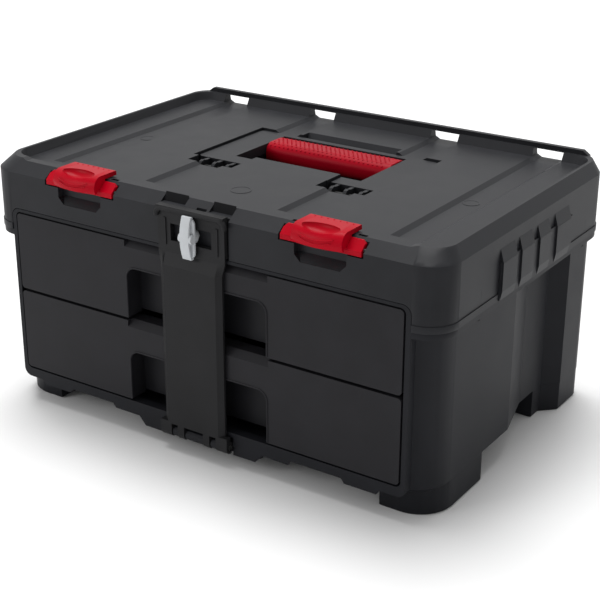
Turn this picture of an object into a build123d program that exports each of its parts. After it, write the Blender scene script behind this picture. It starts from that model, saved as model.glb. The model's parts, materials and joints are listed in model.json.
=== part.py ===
from build123d import *
import os

# Two-drawer stacking toolbox: moulded housing and cover, two organiser drawers on ball slides,
# a hinged lock bar with a wing knob, two stacking latches and a folding carry handle.
# Millimetres. Z is up, the drawers open towards -Y, and X = 0 is the middle plane.
# Sizes are counted from the middle of the housing; the finished pieces are then set over the
# origin, which lies on the ground under the middle of the whole box, knob included.

os.makedirs("parts", exist_ok=True)

# Shared clearances, and the sides of small barrels and their bores
wall = 3.0
shaft_gap = 0.06
slip_gap = 0.3
barrel_flats = 12

# Top cover
cover_width = 474.0
cover_depth = 319.0
cover_corner = 27.0
skirt_overlap = 18.0
cover_height = 65.5
shoulder_height = 10.5
front_rim_drop = 1.5
rim_side_in = 8.5
rim_front_in = 14.5
rim_rear_in = 2.5
rim_drop_in = 22.5
rim_drop_slope = 6.0
rim_corner = 21.0
tray_depth = 8.0
tray_plate = 5.0
tray_side_in = 6.5
tray_front_in = 7.0
tray_rear_in = 11.0
tray_corner = 16.0
tray_flare = 6.0
rear_wall_rise = 4.2
rear_wall_in = 9.5
bead_height = 6.0
bead_out = 0.8

# Channels in the tray and the slots that they lead to
channel_places = (-180.0, -71.0, 71.0, 180.0)
channel_width = 30.0
channel_bottom = 21.0
channel_drop = 2.8
channel_front_in = 21.0
slot_drop = 0.5

# Side grips
grip_front = -65.0
grip_rear = 77.0
grip_out = 3.5
grip_base_out = 1.8
grip_plate_drop = 21.5
grip_bump_drop = 10.5
grip_bump_slope = 12.0
grip_bumps = ((-64.0, -38.0), (-29.0, -5.0), (6.0, 28.0), (41.0, 70.0))

# Lower housing
skirt_side_step = 7.0
skirt_end_step = 6.5
body_corner = 33.0
body_rear_out = 2.5
body_rear_corner = 20.0
body_top_drop = 1.5
underside = 23.5
base_chamfer = 5.0
bay_clearance = 3.3
bay_length = 112.5
bay_slope = 53.0
bay_rear_in = 55.0
bay_rear_slope = 14.0
flange_height = 5.5
foot_inset = 0.3
foot_front_in = 8.0
front_foot_length = 84.0
rear_foot_length = 84.5
foot_width = 52.0
foot_chamfer = 1.5
foot_wall = 4.0
front_hollow_in = (9.0, 4.0, 20.0)
rear_hollow_in = (34.0, 5.5, 9.0)

# Drawer frame and drawers
frame_rim = 4.5
frame_rim_top = 3.0
frame_thickness = 10.0
frame_corner = 8.0
opening_room = 8.5
opening_low = 32.5
opening_top_gap = 1.3
opening_corner = 5.0
front_gap = 1.5
front_proud = 0.5
front_thickness = 19.0
front_skin = 3.0
fronts_gap = 2.7
lower_front_gap = 2.0
upper_front_height = 73.2
lower_front_height = 77.8
pull_half = 75.0
pull_height = 49.0
pull_corner = 10.0
pull_lip_wall = 4.0
scoop_half = 76.0
scoop_size = 6.0
side_room = 33.0
rear_room = 21.5
tub_wall = 2.5
tub_floor_gap = 2.5
tub_top_drop = 3.2
tub_boss = 4.2
drawer_travel = 200.0

# Organiser walls
divider_thickness = 2.2
divider_height = 50.0
guide_rib = 2.0
guide_depth = 2.5
cross_divider_in = 169.0
upper_divider_places = (-64.0, 64.0)
lower_divider_places = (-98.0, 0.0, 98.0)

# Ball slides
slide_front_gap = 1.0
slide_rear_gap = 1.0
slide_height = 35.0
slide_thickness = 12.7
rail_steel = 1.2
ball_radius = 1.6
ball_gap = 0.1
cage_steel = 0.8
cage_length = 56.0
cage_stop = 13.0
balls_per_row = 2
slide_z_in_front = 36.0
screw_radius = 1.5
screw_head = 2.8
screw_head_height = 1.6
rail_rib_width = 8.0
rail_screw_ins = (20.0, 18.0)
rail_screw_length = 9.0
tub_screw_ins = (32.0, 32.0)
tub_screw_length = 6.0
cover_screw_in = 3.4
cover_screw_rows = (-95.0, 112.0)
cover_screw_length = 18.0
screw_boss = 3.0
front_screw_places = (-150.0, 150.0)
front_screw_length = 10.0

# Lock bar
bar_half = 32.5
bar_upper_half = 35.0
bar_face_out = 7.5
bar_back_out = 1.7
bar_upper_face_out = 3.1
bar_upper_back_in = 1.7
bar_shoulder_height = 10.5
bar_shoulder_drop = 18.6
bar_step_rise = 5.0
bar_lip_height = 4.8
bar_lip_out = 5.3
bar_top_drop = 6.7
bar_base_half = 36.5
bar_base_top = 29.0
bar_bevel = 5.0
bar_bevel_depth = 3.4
bar_skin = 2.8
window_half = 21.5
window_height = 15.2
lock_drop = 29.4
bar_pin_radius = 2.5
bar_pin_out = 2.0
bar_pin_z = 18.6
bar_knuckle = 5.5
bar_windows = ((-24.5, -17.5), (-10.5, 10.5), (17.5, 24.5))
channel_gap = 1.5
bar_channel_depth = 2.9
lock_pad_depth = 11.5
hinge_block_half = 62.0
hinge_block_low = 11.2
hinge_block_depth = 41.5
sill_low = 19.3
sill_depth = 9.5

# Wing knob
wing_half = 18.9
wing_width = 9.3
wing_out = 12.5
wing_bow = 3.6
wing_depth = 6.7
knob_hub = 6.8
knob_shaft = 4.5
knob_screw_radius = 2.0
knob_screw_head = 4.0
knob_screw_length = 12.0
washer_radius = 9.0
washer_thickness = 1.5

# Latches
latch_places = (-126.3, 126.3)
latch_half = 23.8
latch_depth = 19.7
latch_rise = 2.5
latch_thickness = 3.1
latch_wing_half = 39.3
latch_axis_in = 4.3
latch_axis_drop = 9.4
latch_barrel = 4.6
latch_wing_out = 1.1
latch_wing_rise = 7.4
latch_pin_radius = 1.3
latch_pin_half = 43.0
latch_slot_half = 40.0
latch_slot_drop = 5.7
latch_slot_depth = 9.3
latch_recess_half = 24.6
latch_recess_drop = 30.0
latch_recess_cut = 5.8
latch_recess_depth = 7.1
latch_block_half = 46.0
latch_block_wall = 4.0
latch_block_depth = 15.5

# Handle
handle_half = 100.0
handle_front = -22.0
handle_rear = 84.0
handle_drop = 2.0
handle_thickness = 9.5
handle_gap = 2.0
arm_inner = 69.0
arm_bridge_y = -4.5
grip_bar_front = 44.0
grip_bar_rear = 77.0
grip_rise = 1.0
grip_height = 21.0
core_front = 55.0
core_rear = 67.0
bay_inner = 46.0
bay_outer = 96.0
hinge_bay_front = -43.0
handle_pin_y = -32.0
handle_pin_drop = 6.0
handle_pin_radius = 2.2
handle_leaf = 6.2
handle_leaf_width = 3.4
handle_leaves = (57.0, 72.0, 87.0)
tongue_half = 46.5
well_front = -3.0
well_rear = 80.0
well_room = 7.0
scoop_rear = 97.0
scoop_well_half = 53.0

# Sizes that follow from the ones above: plan of the cover and the housing
cover_half = cover_width / 2
cover_front = -cover_depth / 2
rim_half = cover_half - rim_side_in
rim_width = 2 * rim_half
rim_front = cover_front + rim_front_in
rim_rear = cover_depth / 2 - rim_rear_in
tray_half_width = rim_half - tray_side_in
tray_front = rim_front + tray_front_in
tray_rear = rim_rear - tray_rear_in
rear_wall_half = rim_half - rear_wall_in
channel_front = tray_front + channel_front_in
body_half = cover_half - skirt_side_step
body_width = 2 * body_half
body_depth = cover_depth - 2 * skirt_end_step
body_rear = body_depth / 2 + body_rear_out
bay_depth = side_room - slide_thickness - wall - bay_clearance
bay_rear = body_rear - bay_rear_in
bay_front = bay_rear - bay_length
foot_front = foot_front_in - body_depth / 2
front_foot_rear = foot_front + front_foot_length
rear_foot_front = body_rear - rear_foot_length
foot_inner = body_half - foot_width
foot_hollows = (
    (
        foot_front + front_hollow_in[0], front_foot_rear - front_hollow_in[1],
        body_half - front_hollow_in[2],
    ),
    (
        rear_foot_front + rear_hollow_in[0], body_rear - rear_hollow_in[1],
        body_half - rear_hollow_in[2],
    ),
)

# Drawers and their slides, from the front back
frame_face = cover_front
frame_back = frame_face + frame_thickness
front_face = frame_face - front_proud
front_back = front_face + front_thickness
tub_half = body_half - side_room
tub_length = body_rear - wall - rear_room - front_back
opening_half = tub_half + opening_room
frame_half = opening_half + frame_rim
front_half = opening_half - front_gap
slide_front = front_back + slide_front_gap
slide_rear = front_back + tub_length - slide_rear_gap
cage_rear = slide_front + cage_stop + drawer_travel / 2 + cage_length
rail_screw_places = (slide_front + rail_screw_ins[0], slide_rear - rail_screw_ins[1])
tub_screw_places = (slide_front + tub_screw_ins[0], slide_rear - tub_screw_ins[1])
cross_divider_y = front_back + cross_divider_in
rail_back = tub_half + slide_thickness
rail_half = slide_height / 2
race_outer = rail_half - rail_steel
race_inner = race_outer - 2 * (ball_radius + ball_gap)
ball_z = (race_outer + race_inner) / 2
cage_web_out = rail_back - rail_steel - 2.3
ball_x = cage_web_out - cage_steel - 0.6 - ball_radius

# Heights, from the ground up
body_floor = underside + wall
lower_front_low = opening_low + lower_front_gap
upper_front_low = lower_front_low + lower_front_height + fronts_gap
tub_height = upper_front_height - tub_top_drop
opening_top = upper_front_low + upper_front_height + opening_top_gap
frame_top = opening_top + frame_rim_top
body_top = opening_top - body_top_drop
cover_low = opening_top - skirt_overlap
flange_low = cover_low - flange_height
rim_top = cover_low + cover_height
chamfer_low = rim_top - shoulder_height
tray_floor = rim_top - tray_depth
rear_wall_top = rim_top + rear_wall_rise
slot_top = rim_top - slot_drop

# Lock bar, knob and latches
bar_face = cover_front - bar_face_out
bar_back = cover_front - bar_back_out
bar_upper_face = cover_front - bar_upper_face_out
bar_upper_back = cover_front + bar_upper_back_in
bar_lip_face = cover_front - bar_lip_out
bar_pin_y = cover_front - bar_pin_out
bar_channel_back = cover_front + bar_channel_depth
lock_pad_back = cover_front + lock_pad_depth
hinge_block_back = cover_front + hinge_block_depth
sill_back = cover_front + sill_depth
lock_z = rim_top - lock_drop
bar_shoulder_top = lock_z - bar_shoulder_drop
bar_shoulder_low = bar_shoulder_top - bar_shoulder_height
bar_step = bar_shoulder_top + bar_step_rise
bar_top = rim_top - bar_top_drop
bar_lip_low = bar_top - bar_lip_height
wing_front = cover_front - wing_out
wing_tip_front = wing_front + wing_bow
wing_back = wing_front + wing_depth
latch_axis_y = cover_front + latch_axis_in
latch_axis_z = rim_top - latch_axis_drop
latch_rear = latch_axis_y + latch_depth
latch_top = rim_top + latch_rise
latch_under = latch_top - latch_thickness
latch_wing_front = cover_front - latch_wing_out
latch_wing_top = latch_axis_z + latch_wing_rise
latch_slot_low = latch_axis_z - latch_slot_drop
latch_slot_back = cover_front + latch_slot_depth
latch_recess_low = rim_top - latch_recess_drop
latch_recess_back = cover_front + latch_recess_depth
latch_block_low = latch_recess_low - latch_block_wall
latch_block_back = cover_front + latch_block_depth
cover_screw_places = [
    (side * (cover_half - cover_screw_in), row) for row in cover_screw_rows for side in (-1, 1)
]

# Handle
handle_top = tray_floor - handle_drop
handle_pin_z = handle_top - handle_pin_drop
grip_top = handle_top + grip_rise
grip_low = grip_top - grip_height
well_low = grip_low - well_room
drawer_lows = {"upper": upper_front_low, "lower": lower_front_low}
drawer_heights = {"upper": upper_front_height, "lower": lower_front_height}
sides = {"left": -1, "right": 1}
over_origin = Location((0, -(wing_front + cover_depth / 2 + bead_out) / 2, 0))


def block(x0, x1, y0, y1, z0, z1, mode=Mode.ADD):
    """Adds or cuts a block between two opposite corners, in the part that is being built."""
    with Locations(((x0 + x1) / 2, (y0 + y1) / 2, (z0 + z1) / 2)):
        Box(x1 - x0, y1 - y0, z1 - z0, mode=mode)


def along_x(points, x0, x1, mode=Mode.ADD):
    """Extrudes an outline of (y, z) points from x0 to x1."""
    with BuildSketch(Plane.YZ.offset(x0)) as profile:
        Polygon(*points, align=None)
    extrude(profile.sketch, amount=x1 - x0, mode=mode)


def along_y(points, y0, y1, mode=Mode.ADD):
    """Extrudes an outline of (x, z) points from y0 to y1."""
    with BuildSketch(Plane.XZ.offset(-y0)) as profile:
        Polygon(*points, align=None)
    extrude(profile.sketch, amount=y0 - y1, mode=mode)


def peg(radius, x, z, y0, y1, mode=Mode.ADD):
    """Adds or cuts a cylinder that lies along Y."""
    with Locations(Location((x, (y0 + y1) / 2, z), (90, 0, 0))):
        Cylinder(radius, y1 - y0, mode=mode)


def flat_sided(plane, centres, radius, length, mode=Mode.ADD, flats=6):
    """Adds or cuts bars with flat sides around circles of the given radius, up from a plane."""
    with BuildSketch(plane) as section:
        with Locations(*centres):
            RegularPolygon(radius, flats, major_radius=False)
    extrude(section.sketch, amount=length, mode=mode)


def flat_rod(radius, x0, x1, y, z, mode=Mode.ADD, flats=6):
    """Adds or cuts a flat-sided bar that lies along X."""
    flat_sided(Plane.YZ.offset(x0), [(y, z)], radius, x1 - x0, mode, flats)


def round_pin(radius, x0, x1, y, z):
    """Adds a round pin along X."""
    with BuildSketch(Plane.YZ.offset(x0)) as section:
        with Locations((y, z)):
            Circle(radius)
    extrude(section.sketch, amount=x1 - x0)


def flat_peg(radius, x, z, y0, y1, mode=Mode.ADD, flats=6):
    """Adds or cuts a flat-sided bar that lies along Y."""
    flat_sided(Plane.XZ.offset(-y1), [(x, z)], radius, y1 - y0, mode, flats)


def mirrored(side, near, far):
    """Puts two distances from the middle plane on one side, in rising order."""
    return sorted((side * near, side * far))


# Plan outline of the housing: a rounded rectangle with a shallow bay in each side
with BuildSketch() as body_plan:
    RectangleRounded(body_width, body_depth, body_corner)
    with Locations((0, (body_rear - body_rear_corner) / 2)):
        RectangleRounded(body_width, body_rear + body_rear_corner, body_rear_corner)
    for side in sides.values():
        Polygon(
            (side * (body_half + 1), bay_front),
            (side * body_half, bay_front),
            (side * (body_half - bay_depth), bay_front + bay_slope),
            (side * (body_half - bay_depth), bay_rear - bay_rear_slope),
            (side * body_half, bay_rear),
            (side * (body_half + 1), bay_rear),
            align=None,
            mode=Mode.SUBTRACT,
        )

with BuildSketch() as cavity_plan:
    offset(body_plan.sketch, amount=-wall, kind=Kind.INTERSECTION)


with BuildSketch() as foot_plan:
    offset(body_plan.sketch, amount=-foot_inset, kind=Kind.INTERSECTION)
    with Locations((0, foot_front + body_depth)):
        RectangleRounded(
            body_width - 2 * foot_inset, 2 * body_depth, body_corner - foot_inset,
            mode=Mode.INTERSECT,
        )
    with Locations((0, (front_foot_rear + rear_foot_front) / 2)):
        Rectangle(body_width, rear_foot_front - front_foot_rear, mode=Mode.SUBTRACT)
    Rectangle(2 * foot_inner, 2 * body_depth, mode=Mode.SUBTRACT)

with BuildPart() as body_shell:
    with BuildSketch(Plane.XY.offset(underside)):
        add(body_plan.sketch)
    extrude(amount=body_top - underside)
    chamfer(body_shell.faces().sort_by(Axis.Z)[0].edges(), base_chamfer)
    # Flange that carries the cover
    with BuildSketch(Plane.XY.offset(flange_low)):
        RectangleRounded(cover_width, cover_depth, cover_corner)
    extrude(amount=flange_height)
    # Drawer frame, proud of the front
    with BuildSketch(Plane.XZ.offset(-frame_face)) as frame_sketch:
        with Locations((0, (underside + frame_top) / 2)):
            RectangleRounded(2 * frame_half, frame_top - underside, frame_corner)
    extrude(frame_sketch.sketch, amount=frame_face - frame_back)
    # Feet
    extrude(foot_plan.sketch, amount=underside + base_chamfer)
    chamfer(body_shell.faces().sort_by(Axis.Z)[0:4].edges(), foot_chamfer)
    # Stepped underside of the sill, with the hinge block behind it
    along_y(
        (
            (-100, underside + 1), (-96, sill_low), (-68, sill_low),
            (1 - hinge_block_half, hinge_block_low), (hinge_block_half - 1, hinge_block_low),
            (68, sill_low), (96, sill_low), (100, underside + 1),
        ),
        frame_face, sill_back,
    )
    for side in sides.values():
        along_y(
            (
                (side * 148, underside + 1), (side * 152, sill_low),
                (side * 183, sill_low), (side * 187, underside + 1),
            ),
            frame_face, sill_back,
        )
    block(
        -hinge_block_half, hinge_block_half, -body_depth / 2 + 1, hinge_block_back,
        hinge_block_low, underside + 1,
    )
    # Inside
    with BuildSketch(Plane.XY.offset(body_floor)):
        add(cavity_plan.sketch)
    extrude(amount=body_top, mode=Mode.SUBTRACT)
    for side in sides.values():
        for hollow_front, hollow_rear, hollow_out in foot_hollows:
            block(
                *mirrored(side, foot_inner + foot_wall, hollow_out),
                hollow_front, hollow_rear, foot_wall, body_floor + 1, Mode.SUBTRACT,
            )
    with BuildSketch(Plane.XZ.offset(-frame_face + 1)) as opening_sketch:
        with Locations((0, (opening_low + opening_top) / 2)):
            RectangleRounded(2 * opening_half, opening_top - opening_low, opening_corner)
    extrude(opening_sketch.sketch, amount=frame_face - frame_back - 2, mode=Mode.SUBTRACT)
    # Ribs that carry the slides
    for side in sides.values():
        for rib_y in rail_screw_places:
            block(
                *mirrored(side, rail_back, body_half - wall + 0.5),
                rib_y - rail_rib_width / 2, rib_y + rail_rib_width / 2,
                body_floor - 0.5, body_top - 12,
            )
            for drawer_low in drawer_lows.values():
                ends = mirrored(side, rail_back - 1, rail_back + 10)
                screw_z = drawer_low + slide_z_in_front
                flat_rod(
                    screw_radius + shaft_gap, ends[0], ends[1], rib_y, screw_z, Mode.SUBTRACT
                )
    # Notch in the sill and the lugs of the bar's hinge
    block(
        -bar_base_half - channel_gap, bar_base_half + channel_gap,
        frame_face - 1, frame_face + 5.5,
        hinge_block_low - 1, bar_base_top - 1.0, Mode.SUBTRACT,
    )
    for lug_start, lug_end in bar_windows:
        lug_low = lug_start + 2 * slip_gap
        lug_high = lug_end - 2 * slip_gap
        flat_rod(
            bar_knuckle - 0.8, lug_low, lug_high, bar_pin_y, bar_pin_z, flats=barrel_flats
        )
        block(
            lug_low, lug_high, bar_pin_y, -body_depth / 2 + 2,
            bar_pin_z - bar_knuckle + 0.7, bar_pin_z + 2,
        )
    flat_rod(bar_pin_radius + shaft_gap, -40, 40, bar_pin_y, bar_pin_z, Mode.SUBTRACT)
    # Holes for the cover's screws
    flat_sided(
        Plane.XY.offset(flange_low - 2), cover_screw_places, screw_radius + shaft_gap,
        flange_height + 4, Mode.SUBTRACT,
    )
body_shell.part.label = "body_shell"
body_shell.part.move(over_origin)
export_step(body_shell.part, "parts/body_shell.step")


with BuildPart() as top_cover:
    # Skirt with its bead, then the bevelled shoulder up to the rim
    with BuildSketch(Plane.XY.offset(cover_low)):
        RectangleRounded(cover_width, cover_depth, cover_corner)
    extrude(amount=chamfer_low - cover_low)
    with BuildSketch(Plane.XY.offset(cover_low)):
        RectangleRounded(
            cover_width + 2 * bead_out, cover_depth + 2 * bead_out, cover_corner + bead_out
        )
    extrude(amount=bead_height)
    with BuildSketch(Plane.XY.offset(chamfer_low)):
        RectangleRounded(cover_width, cover_depth, cover_corner)
    with BuildSketch(Plane.XY.offset(rim_top)):
        with Locations((0, (rim_front + rim_rear) / 2)):
            RectangleRounded(rim_width, rim_rear - rim_front, rim_corner)
    loft(ruled=True)
    # Tray with flared sides
    tray_middle = (tray_front + tray_rear) / 2
    drop_half = rim_half - rim_drop_in
    flared_height = rear_wall_top - tray_floor + 1
    with BuildSketch(Plane.XY.offset(tray_floor)):
        with Locations((0, tray_middle)):
            RectangleRounded(2 * tray_half_width, tray_rear - tray_front, tray_corner)
    with BuildSketch(Plane.XY.offset(tray_floor + flared_height)):
        with Locations((0, tray_middle + tray_flare / 2)):
            RectangleRounded(
                2 * (tray_half_width + tray_flare),
                tray_rear - tray_front + 1.5 * tray_flare,
                tray_corner + tray_flare,
            )
    loft(ruled=True, mode=Mode.SUBTRACT)
    along_y(
        (
            (-drop_half, rim_top + 1), (-drop_half, rim_top),
            (rim_drop_slope - drop_half, rim_top - front_rim_drop),
            (drop_half - rim_drop_slope, rim_top - front_rim_drop),
            (drop_half, rim_top), (drop_half, rim_top + 1),
        ),
        -cover_depth / 2, tray_front + tray_flare, Mode.SUBTRACT,
    )
    # Taller rear wall
    along_y(
        (
            (-rear_wall_half, tray_floor), (-rear_wall_half, rim_top),
            (-rear_wall_half + 6, rear_wall_top), (rear_wall_half - 6, rear_wall_top),
            (rear_wall_half, rim_top), (rear_wall_half, tray_floor),
        ),
        rim_rear - 5.2, rim_rear - 0.2,
    )
    # Inside of the skirt
    with BuildSketch(Plane.XY.offset(cover_low)):
        RectangleRounded(cover_width - 2 * wall, cover_depth - 2 * wall, cover_corner - wall)
    extrude(amount=tray_floor - tray_plate - cover_low, mode=Mode.SUBTRACT)
    # Thickened places behind the lock bar, under the latches and around the handle
    plate_under = tray_floor - tray_plate
    front_in = -cover_depth / 2 + 1
    block(
        -bar_base_half - 5.5, bar_base_half + 5.5, front_in, lock_pad_back,
        bar_step, plate_under + 1,
    )
    for place in latch_places:
        block(
            place - latch_block_half, place + latch_block_half, front_in, latch_block_back,
            latch_block_low, plate_under + 1,
        )
    handle_recess_half = handle_half + handle_gap
    handle_recess_front = handle_front - 2.25 * handle_gap
    handle_recess_rear = handle_rear + handle_gap
    handle_recess_floor = handle_top - handle_thickness - 2.5
    bay_floor = handle_pin_z - handle_leaf - 1.3
    block(
        -handle_recess_half - 2.5, handle_recess_half + 2.5, handle_recess_front - 2.5,
        scoop_rear + 2.5, handle_recess_floor - 3, plate_under + 1,
    )
    block(
        -75, 75, well_front - 3, well_rear + 3, well_low - 3, plate_under + 1,
    )
    for side in sides.values():
        ends = mirrored(side, bay_inner - 5, bay_outer + 6)
        block(
            ends[0], ends[1], hinge_bay_front - 3, handle_recess_front,
            bay_floor - 3, plate_under + 1,
        )
    # Handle recess with its fixed tongue, hinge bays, finger well and rear scoop
    for side in sides.values():
        ends = mirrored(side, tongue_half, handle_recess_half)
        block(
            ends[0], ends[1], handle_recess_front, handle_recess_rear,
            handle_recess_floor, rear_wall_top, Mode.SUBTRACT,
        )
        ends = mirrored(side, bay_inner, bay_outer)
        block(
            ends[0], ends[1], hinge_bay_front, handle_recess_front + 1,
            bay_floor, rear_wall_top, Mode.SUBTRACT,
        )
        ends = mirrored(side, bay_inner - 4, bay_outer + 4)
        flat_rod(
            handle_pin_radius + shaft_gap, ends[0], ends[1],
            handle_pin_y, handle_pin_z, Mode.SUBTRACT,
        )
    block(
        -tongue_half, tongue_half, well_front, handle_recess_rear,
        handle_recess_floor, rear_wall_top, Mode.SUBTRACT,
    )
    block(-72, 72, well_front, well_rear, well_low, rear_wall_top, Mode.SUBTRACT)
    along_x(
        (
            (handle_recess_rear - 1, handle_top - 14.0), (scoop_rear, tray_floor),
            (scoop_rear, rim_top), (handle_recess_rear - 1, rim_top),
        ),
        -scoop_well_half, scoop_well_half, Mode.SUBTRACT,
    )
    # Channels that end in slots through the rear wall
    for place in channel_places:
        along_y(
            (
                (place - channel_width / 2, tray_floor), (place - channel_width / 2, slot_top),
                (place + channel_width / 2, slot_top), (place + channel_width / 2, tray_floor),
                (place + channel_bottom / 2, tray_floor - channel_drop),
                (place - channel_bottom / 2, tray_floor - channel_drop),
            ),
            channel_front, cover_depth / 2 + 1, Mode.SUBTRACT,
        )
    # Latch seats: slot for the wings, finger recess below, bores for the pins
    for place in latch_places:
        block(
            place - latch_slot_half, place + latch_slot_half,
            -cover_depth / 2 - 1, latch_slot_back, latch_slot_low, rear_wall_top,
            Mode.SUBTRACT,
        )
        along_y(
            (
                (place - latch_recess_half, latch_axis_z - 2.6),
                (place - latch_recess_half, latch_recess_low + latch_recess_cut),
                (place - latch_recess_half + latch_recess_cut, latch_recess_low),
                (place + latch_recess_half - latch_recess_cut, latch_recess_low),
                (place + latch_recess_half, latch_recess_low + latch_recess_cut),
                (place + latch_recess_half, latch_axis_z - 2.6),
            ),
            -cover_depth / 2 - 1, latch_recess_back, Mode.SUBTRACT,
        )
        flat_rod(
            latch_pin_radius + shaft_gap, place - latch_pin_half, place + latch_pin_half,
            latch_axis_y, latch_axis_z, Mode.SUBTRACT,
        )
        for offset_x in (-31.0, 31.0):
            block(
                place + offset_x - 4, place + offset_x + 4, cover_front + 12.5, cover_front + 16.0,
                tray_floor + 2, rear_wall_top, Mode.SUBTRACT,
            )
    # Channel for the lock bar, with the funnels in the rim above it
    block(
        -bar_base_half - 0.5, bar_base_half + 0.5, -cover_depth / 2 - 1, bar_channel_back,
        cover_low, rear_wall_top, Mode.SUBTRACT,
    )
    for low_x, high_x in ((-37.0, -12.0), (14.0, 37.0)):
        along_x(
            (
                (cover_front, tray_floor + 0.5), (cover_front + 9.0, tray_floor + 0.5),
                (cover_front + 12.3, rim_top), (cover_front, rim_top),
            ),
            low_x, high_x, Mode.SUBTRACT,
        )
    block(
        1.0, 11.0, cover_front + 2.5, cover_front + 6.0, tray_floor - 1.5, rim_top,
        Mode.SUBTRACT,
    )
    flat_peg(
        knob_shaft + shaft_gap, 0, lock_z, -cover_depth / 2, lock_pad_back + 1,
        Mode.SUBTRACT, barrel_flats,
    )
    # Opening around the drawer frame
    with BuildSketch(Plane.XZ.offset(cover_depth / 2 + 2)) as frame_opening:
        with Locations((0, frame_top + 0.5 - 50)):
            RectangleRounded(2 * frame_half + 1, 100, frame_corner + 0.5)
    extrude(frame_opening.sketch, amount=-22, mode=Mode.SUBTRACT)
    # Grips on both sides, and the bosses of the screws
    for side in sides.values():
        plate_top = chamfer_low - grip_plate_drop
        bump_top = chamfer_low - grip_bump_drop
        ends = mirrored(side, cover_half - 1, cover_half + grip_base_out)
        block(ends[0], ends[1], grip_front, grip_rear, cover_low, plate_top)
        for bump_front, bump_rear in grip_bumps:
            along_y(
                (
                    (side * (cover_half - 1), cover_low),
                    (side * (cover_half + grip_base_out), cover_low),
                    (side * (cover_half + grip_out), cover_low + 8),
                    (side * (cover_half + grip_out), bump_top - grip_bump_slope),
                    (side * cover_half, bump_top),
                    (side * (cover_half - 1), bump_top),
                ),
                bump_front, bump_rear,
            )
    flat_sided(
        Plane.XY.offset(cover_low), cover_screw_places, screw_boss, cover_screw_length + 1
    )
    flat_sided(
        Plane.XY.offset(cover_low - 1), cover_screw_places, screw_radius + shaft_gap,
        cover_screw_length - 3, Mode.SUBTRACT,
    )
top_cover.part.label = "top_cover"
top_cover.part.move(over_origin)
export_step(top_cover.part, "parts/top_cover.step")

with BuildPart() as cover_screws:
    under_head = flange_low - screw_head_height
    flat_sided(Plane.XY.offset(under_head), cover_screw_places, screw_head, screw_head_height)
    flat_sided(Plane.XY.offset(flange_low), cover_screw_places, screw_radius, cover_screw_length)
cover_screws.part.label = "cover_screws"
cover_screws.part.move(over_origin)
export_step(cover_screws.part, "parts/cover_screws.step")

# Ball slides: outer rail on the housing's ribs, inner rail on the tub, cage with balls between
for level, drawer_low in drawer_lows.items():
    slide_z = drawer_low + slide_z_in_front
    for side_name, side in sides.items():
        outer_hook = rail_half - 2.7
        outer_lip = tub_half + 2.5
        with BuildPart() as outer_rail:
            outer_points = [
                (rail_back, -rail_half), (rail_back, rail_half), (outer_lip, rail_half),
                (outer_lip, outer_hook), (outer_lip + rail_steel, outer_hook),
                (outer_lip + rail_steel, race_outer), (rail_back - rail_steel, race_outer),
                (rail_back - rail_steel, -race_outer), (outer_lip + rail_steel, -race_outer),
                (outer_lip + rail_steel, -outer_hook), (outer_lip, -outer_hook),
                (outer_lip, -rail_half),
            ]
            along_y([(side * x, slide_z + z) for x, z in outer_points], slide_front, slide_rear)
            for screw_y in rail_screw_places:
                ends = mirrored(side, rail_back - 3, rail_back + 1)
                flat_rod(screw_radius + shaft_gap, *ends, screw_y, slide_z, Mode.SUBTRACT)
        outer_rail.part.label = f"outer_rail_{level}_{side_name}"
        outer_rail.part.move(over_origin)
        export_step(outer_rail.part, f"parts/outer_rail_{level}_{side_name}.step")

        inner_lip = tub_half + 7.6
        with BuildPart() as inner_rail:
            inner_points = [
                (tub_half, -race_inner), (inner_lip, -race_inner),
                (inner_lip, rail_steel - race_inner),
                (tub_half + rail_steel, rail_steel - race_inner),
                (tub_half + rail_steel, race_inner - rail_steel),
                (inner_lip, race_inner - rail_steel), (inner_lip, race_inner),
                (tub_half, race_inner),
            ]
            along_y([(side * x, slide_z + z) for x, z in inner_points], slide_front, slide_rear)
            for screw_y in tub_screw_places:
                ends = mirrored(side, tub_half - 1, tub_half + 3)
                flat_rod(screw_radius + shaft_gap, *ends, screw_y, slide_z, Mode.SUBTRACT)
        inner_rail.part.label = f"inner_rail_{level}_{side_name}"
        inner_rail.part.move(over_origin)
        export_step(inner_rail.part, f"parts/inner_rail_{level}_{side_name}.step")

        cage_in = outer_lip + rail_steel + 0.25
        cage_high = ball_z + cage_steel / 2
        cage_low = ball_z - cage_steel / 2
        with BuildPart() as ball_cage:
            cage_points = [
                (cage_in, cage_high), (cage_web_out, cage_high), (cage_web_out, -cage_high),
                (cage_in, -cage_high), (cage_in, -cage_low),
                (cage_web_out - cage_steel, -cage_low), (cage_web_out - cage_steel, cage_low),
                (cage_in, cage_low),
            ]
            along_y(
                [(side * x, slide_z + z) for x, z in cage_points],
                cage_rear - cage_length, cage_rear,
            )
            ball_step = cage_length / balls_per_row
            ball_places = [
                (side * ball_x, cage_rear - ball_step * (number + 0.5))
                for number in range(balls_per_row)
            ]
            for row in (-1, 1):
                with BuildSketch(Plane.XY.offset(slide_z + row * ball_z)):
                    with Locations(*ball_places):
                        RegularPolygon(ball_radius, 6)
                extrude(amount=ball_radius, both=True)
        ball_cage.part.label = f"ball_cage_{level}_{side_name}"
        ball_cage.part.move(over_origin)
        export_step(ball_cage.part, f"parts/ball_cage_{level}_{side_name}.step")

with BuildPart() as rail_screws:
    for drawer_low in drawer_lows.values():
        slide_z = drawer_low + slide_z_in_front
        for side in sides.values():
            head_out = rail_back - rail_steel
            for screw_y in rail_screw_places:
                flat_rod(
                    screw_head, *mirrored(side, head_out - screw_head_height, head_out),
                    screw_y, slide_z,
                )
                flat_rod(
                    screw_radius, *mirrored(side, head_out, head_out + rail_screw_length),
                    screw_y, slide_z,
                )
rail_screws.part.label = "rail_screws"
rail_screws.part.move(over_origin)
export_step(rail_screws.part, "parts/rail_screws.step")

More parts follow.
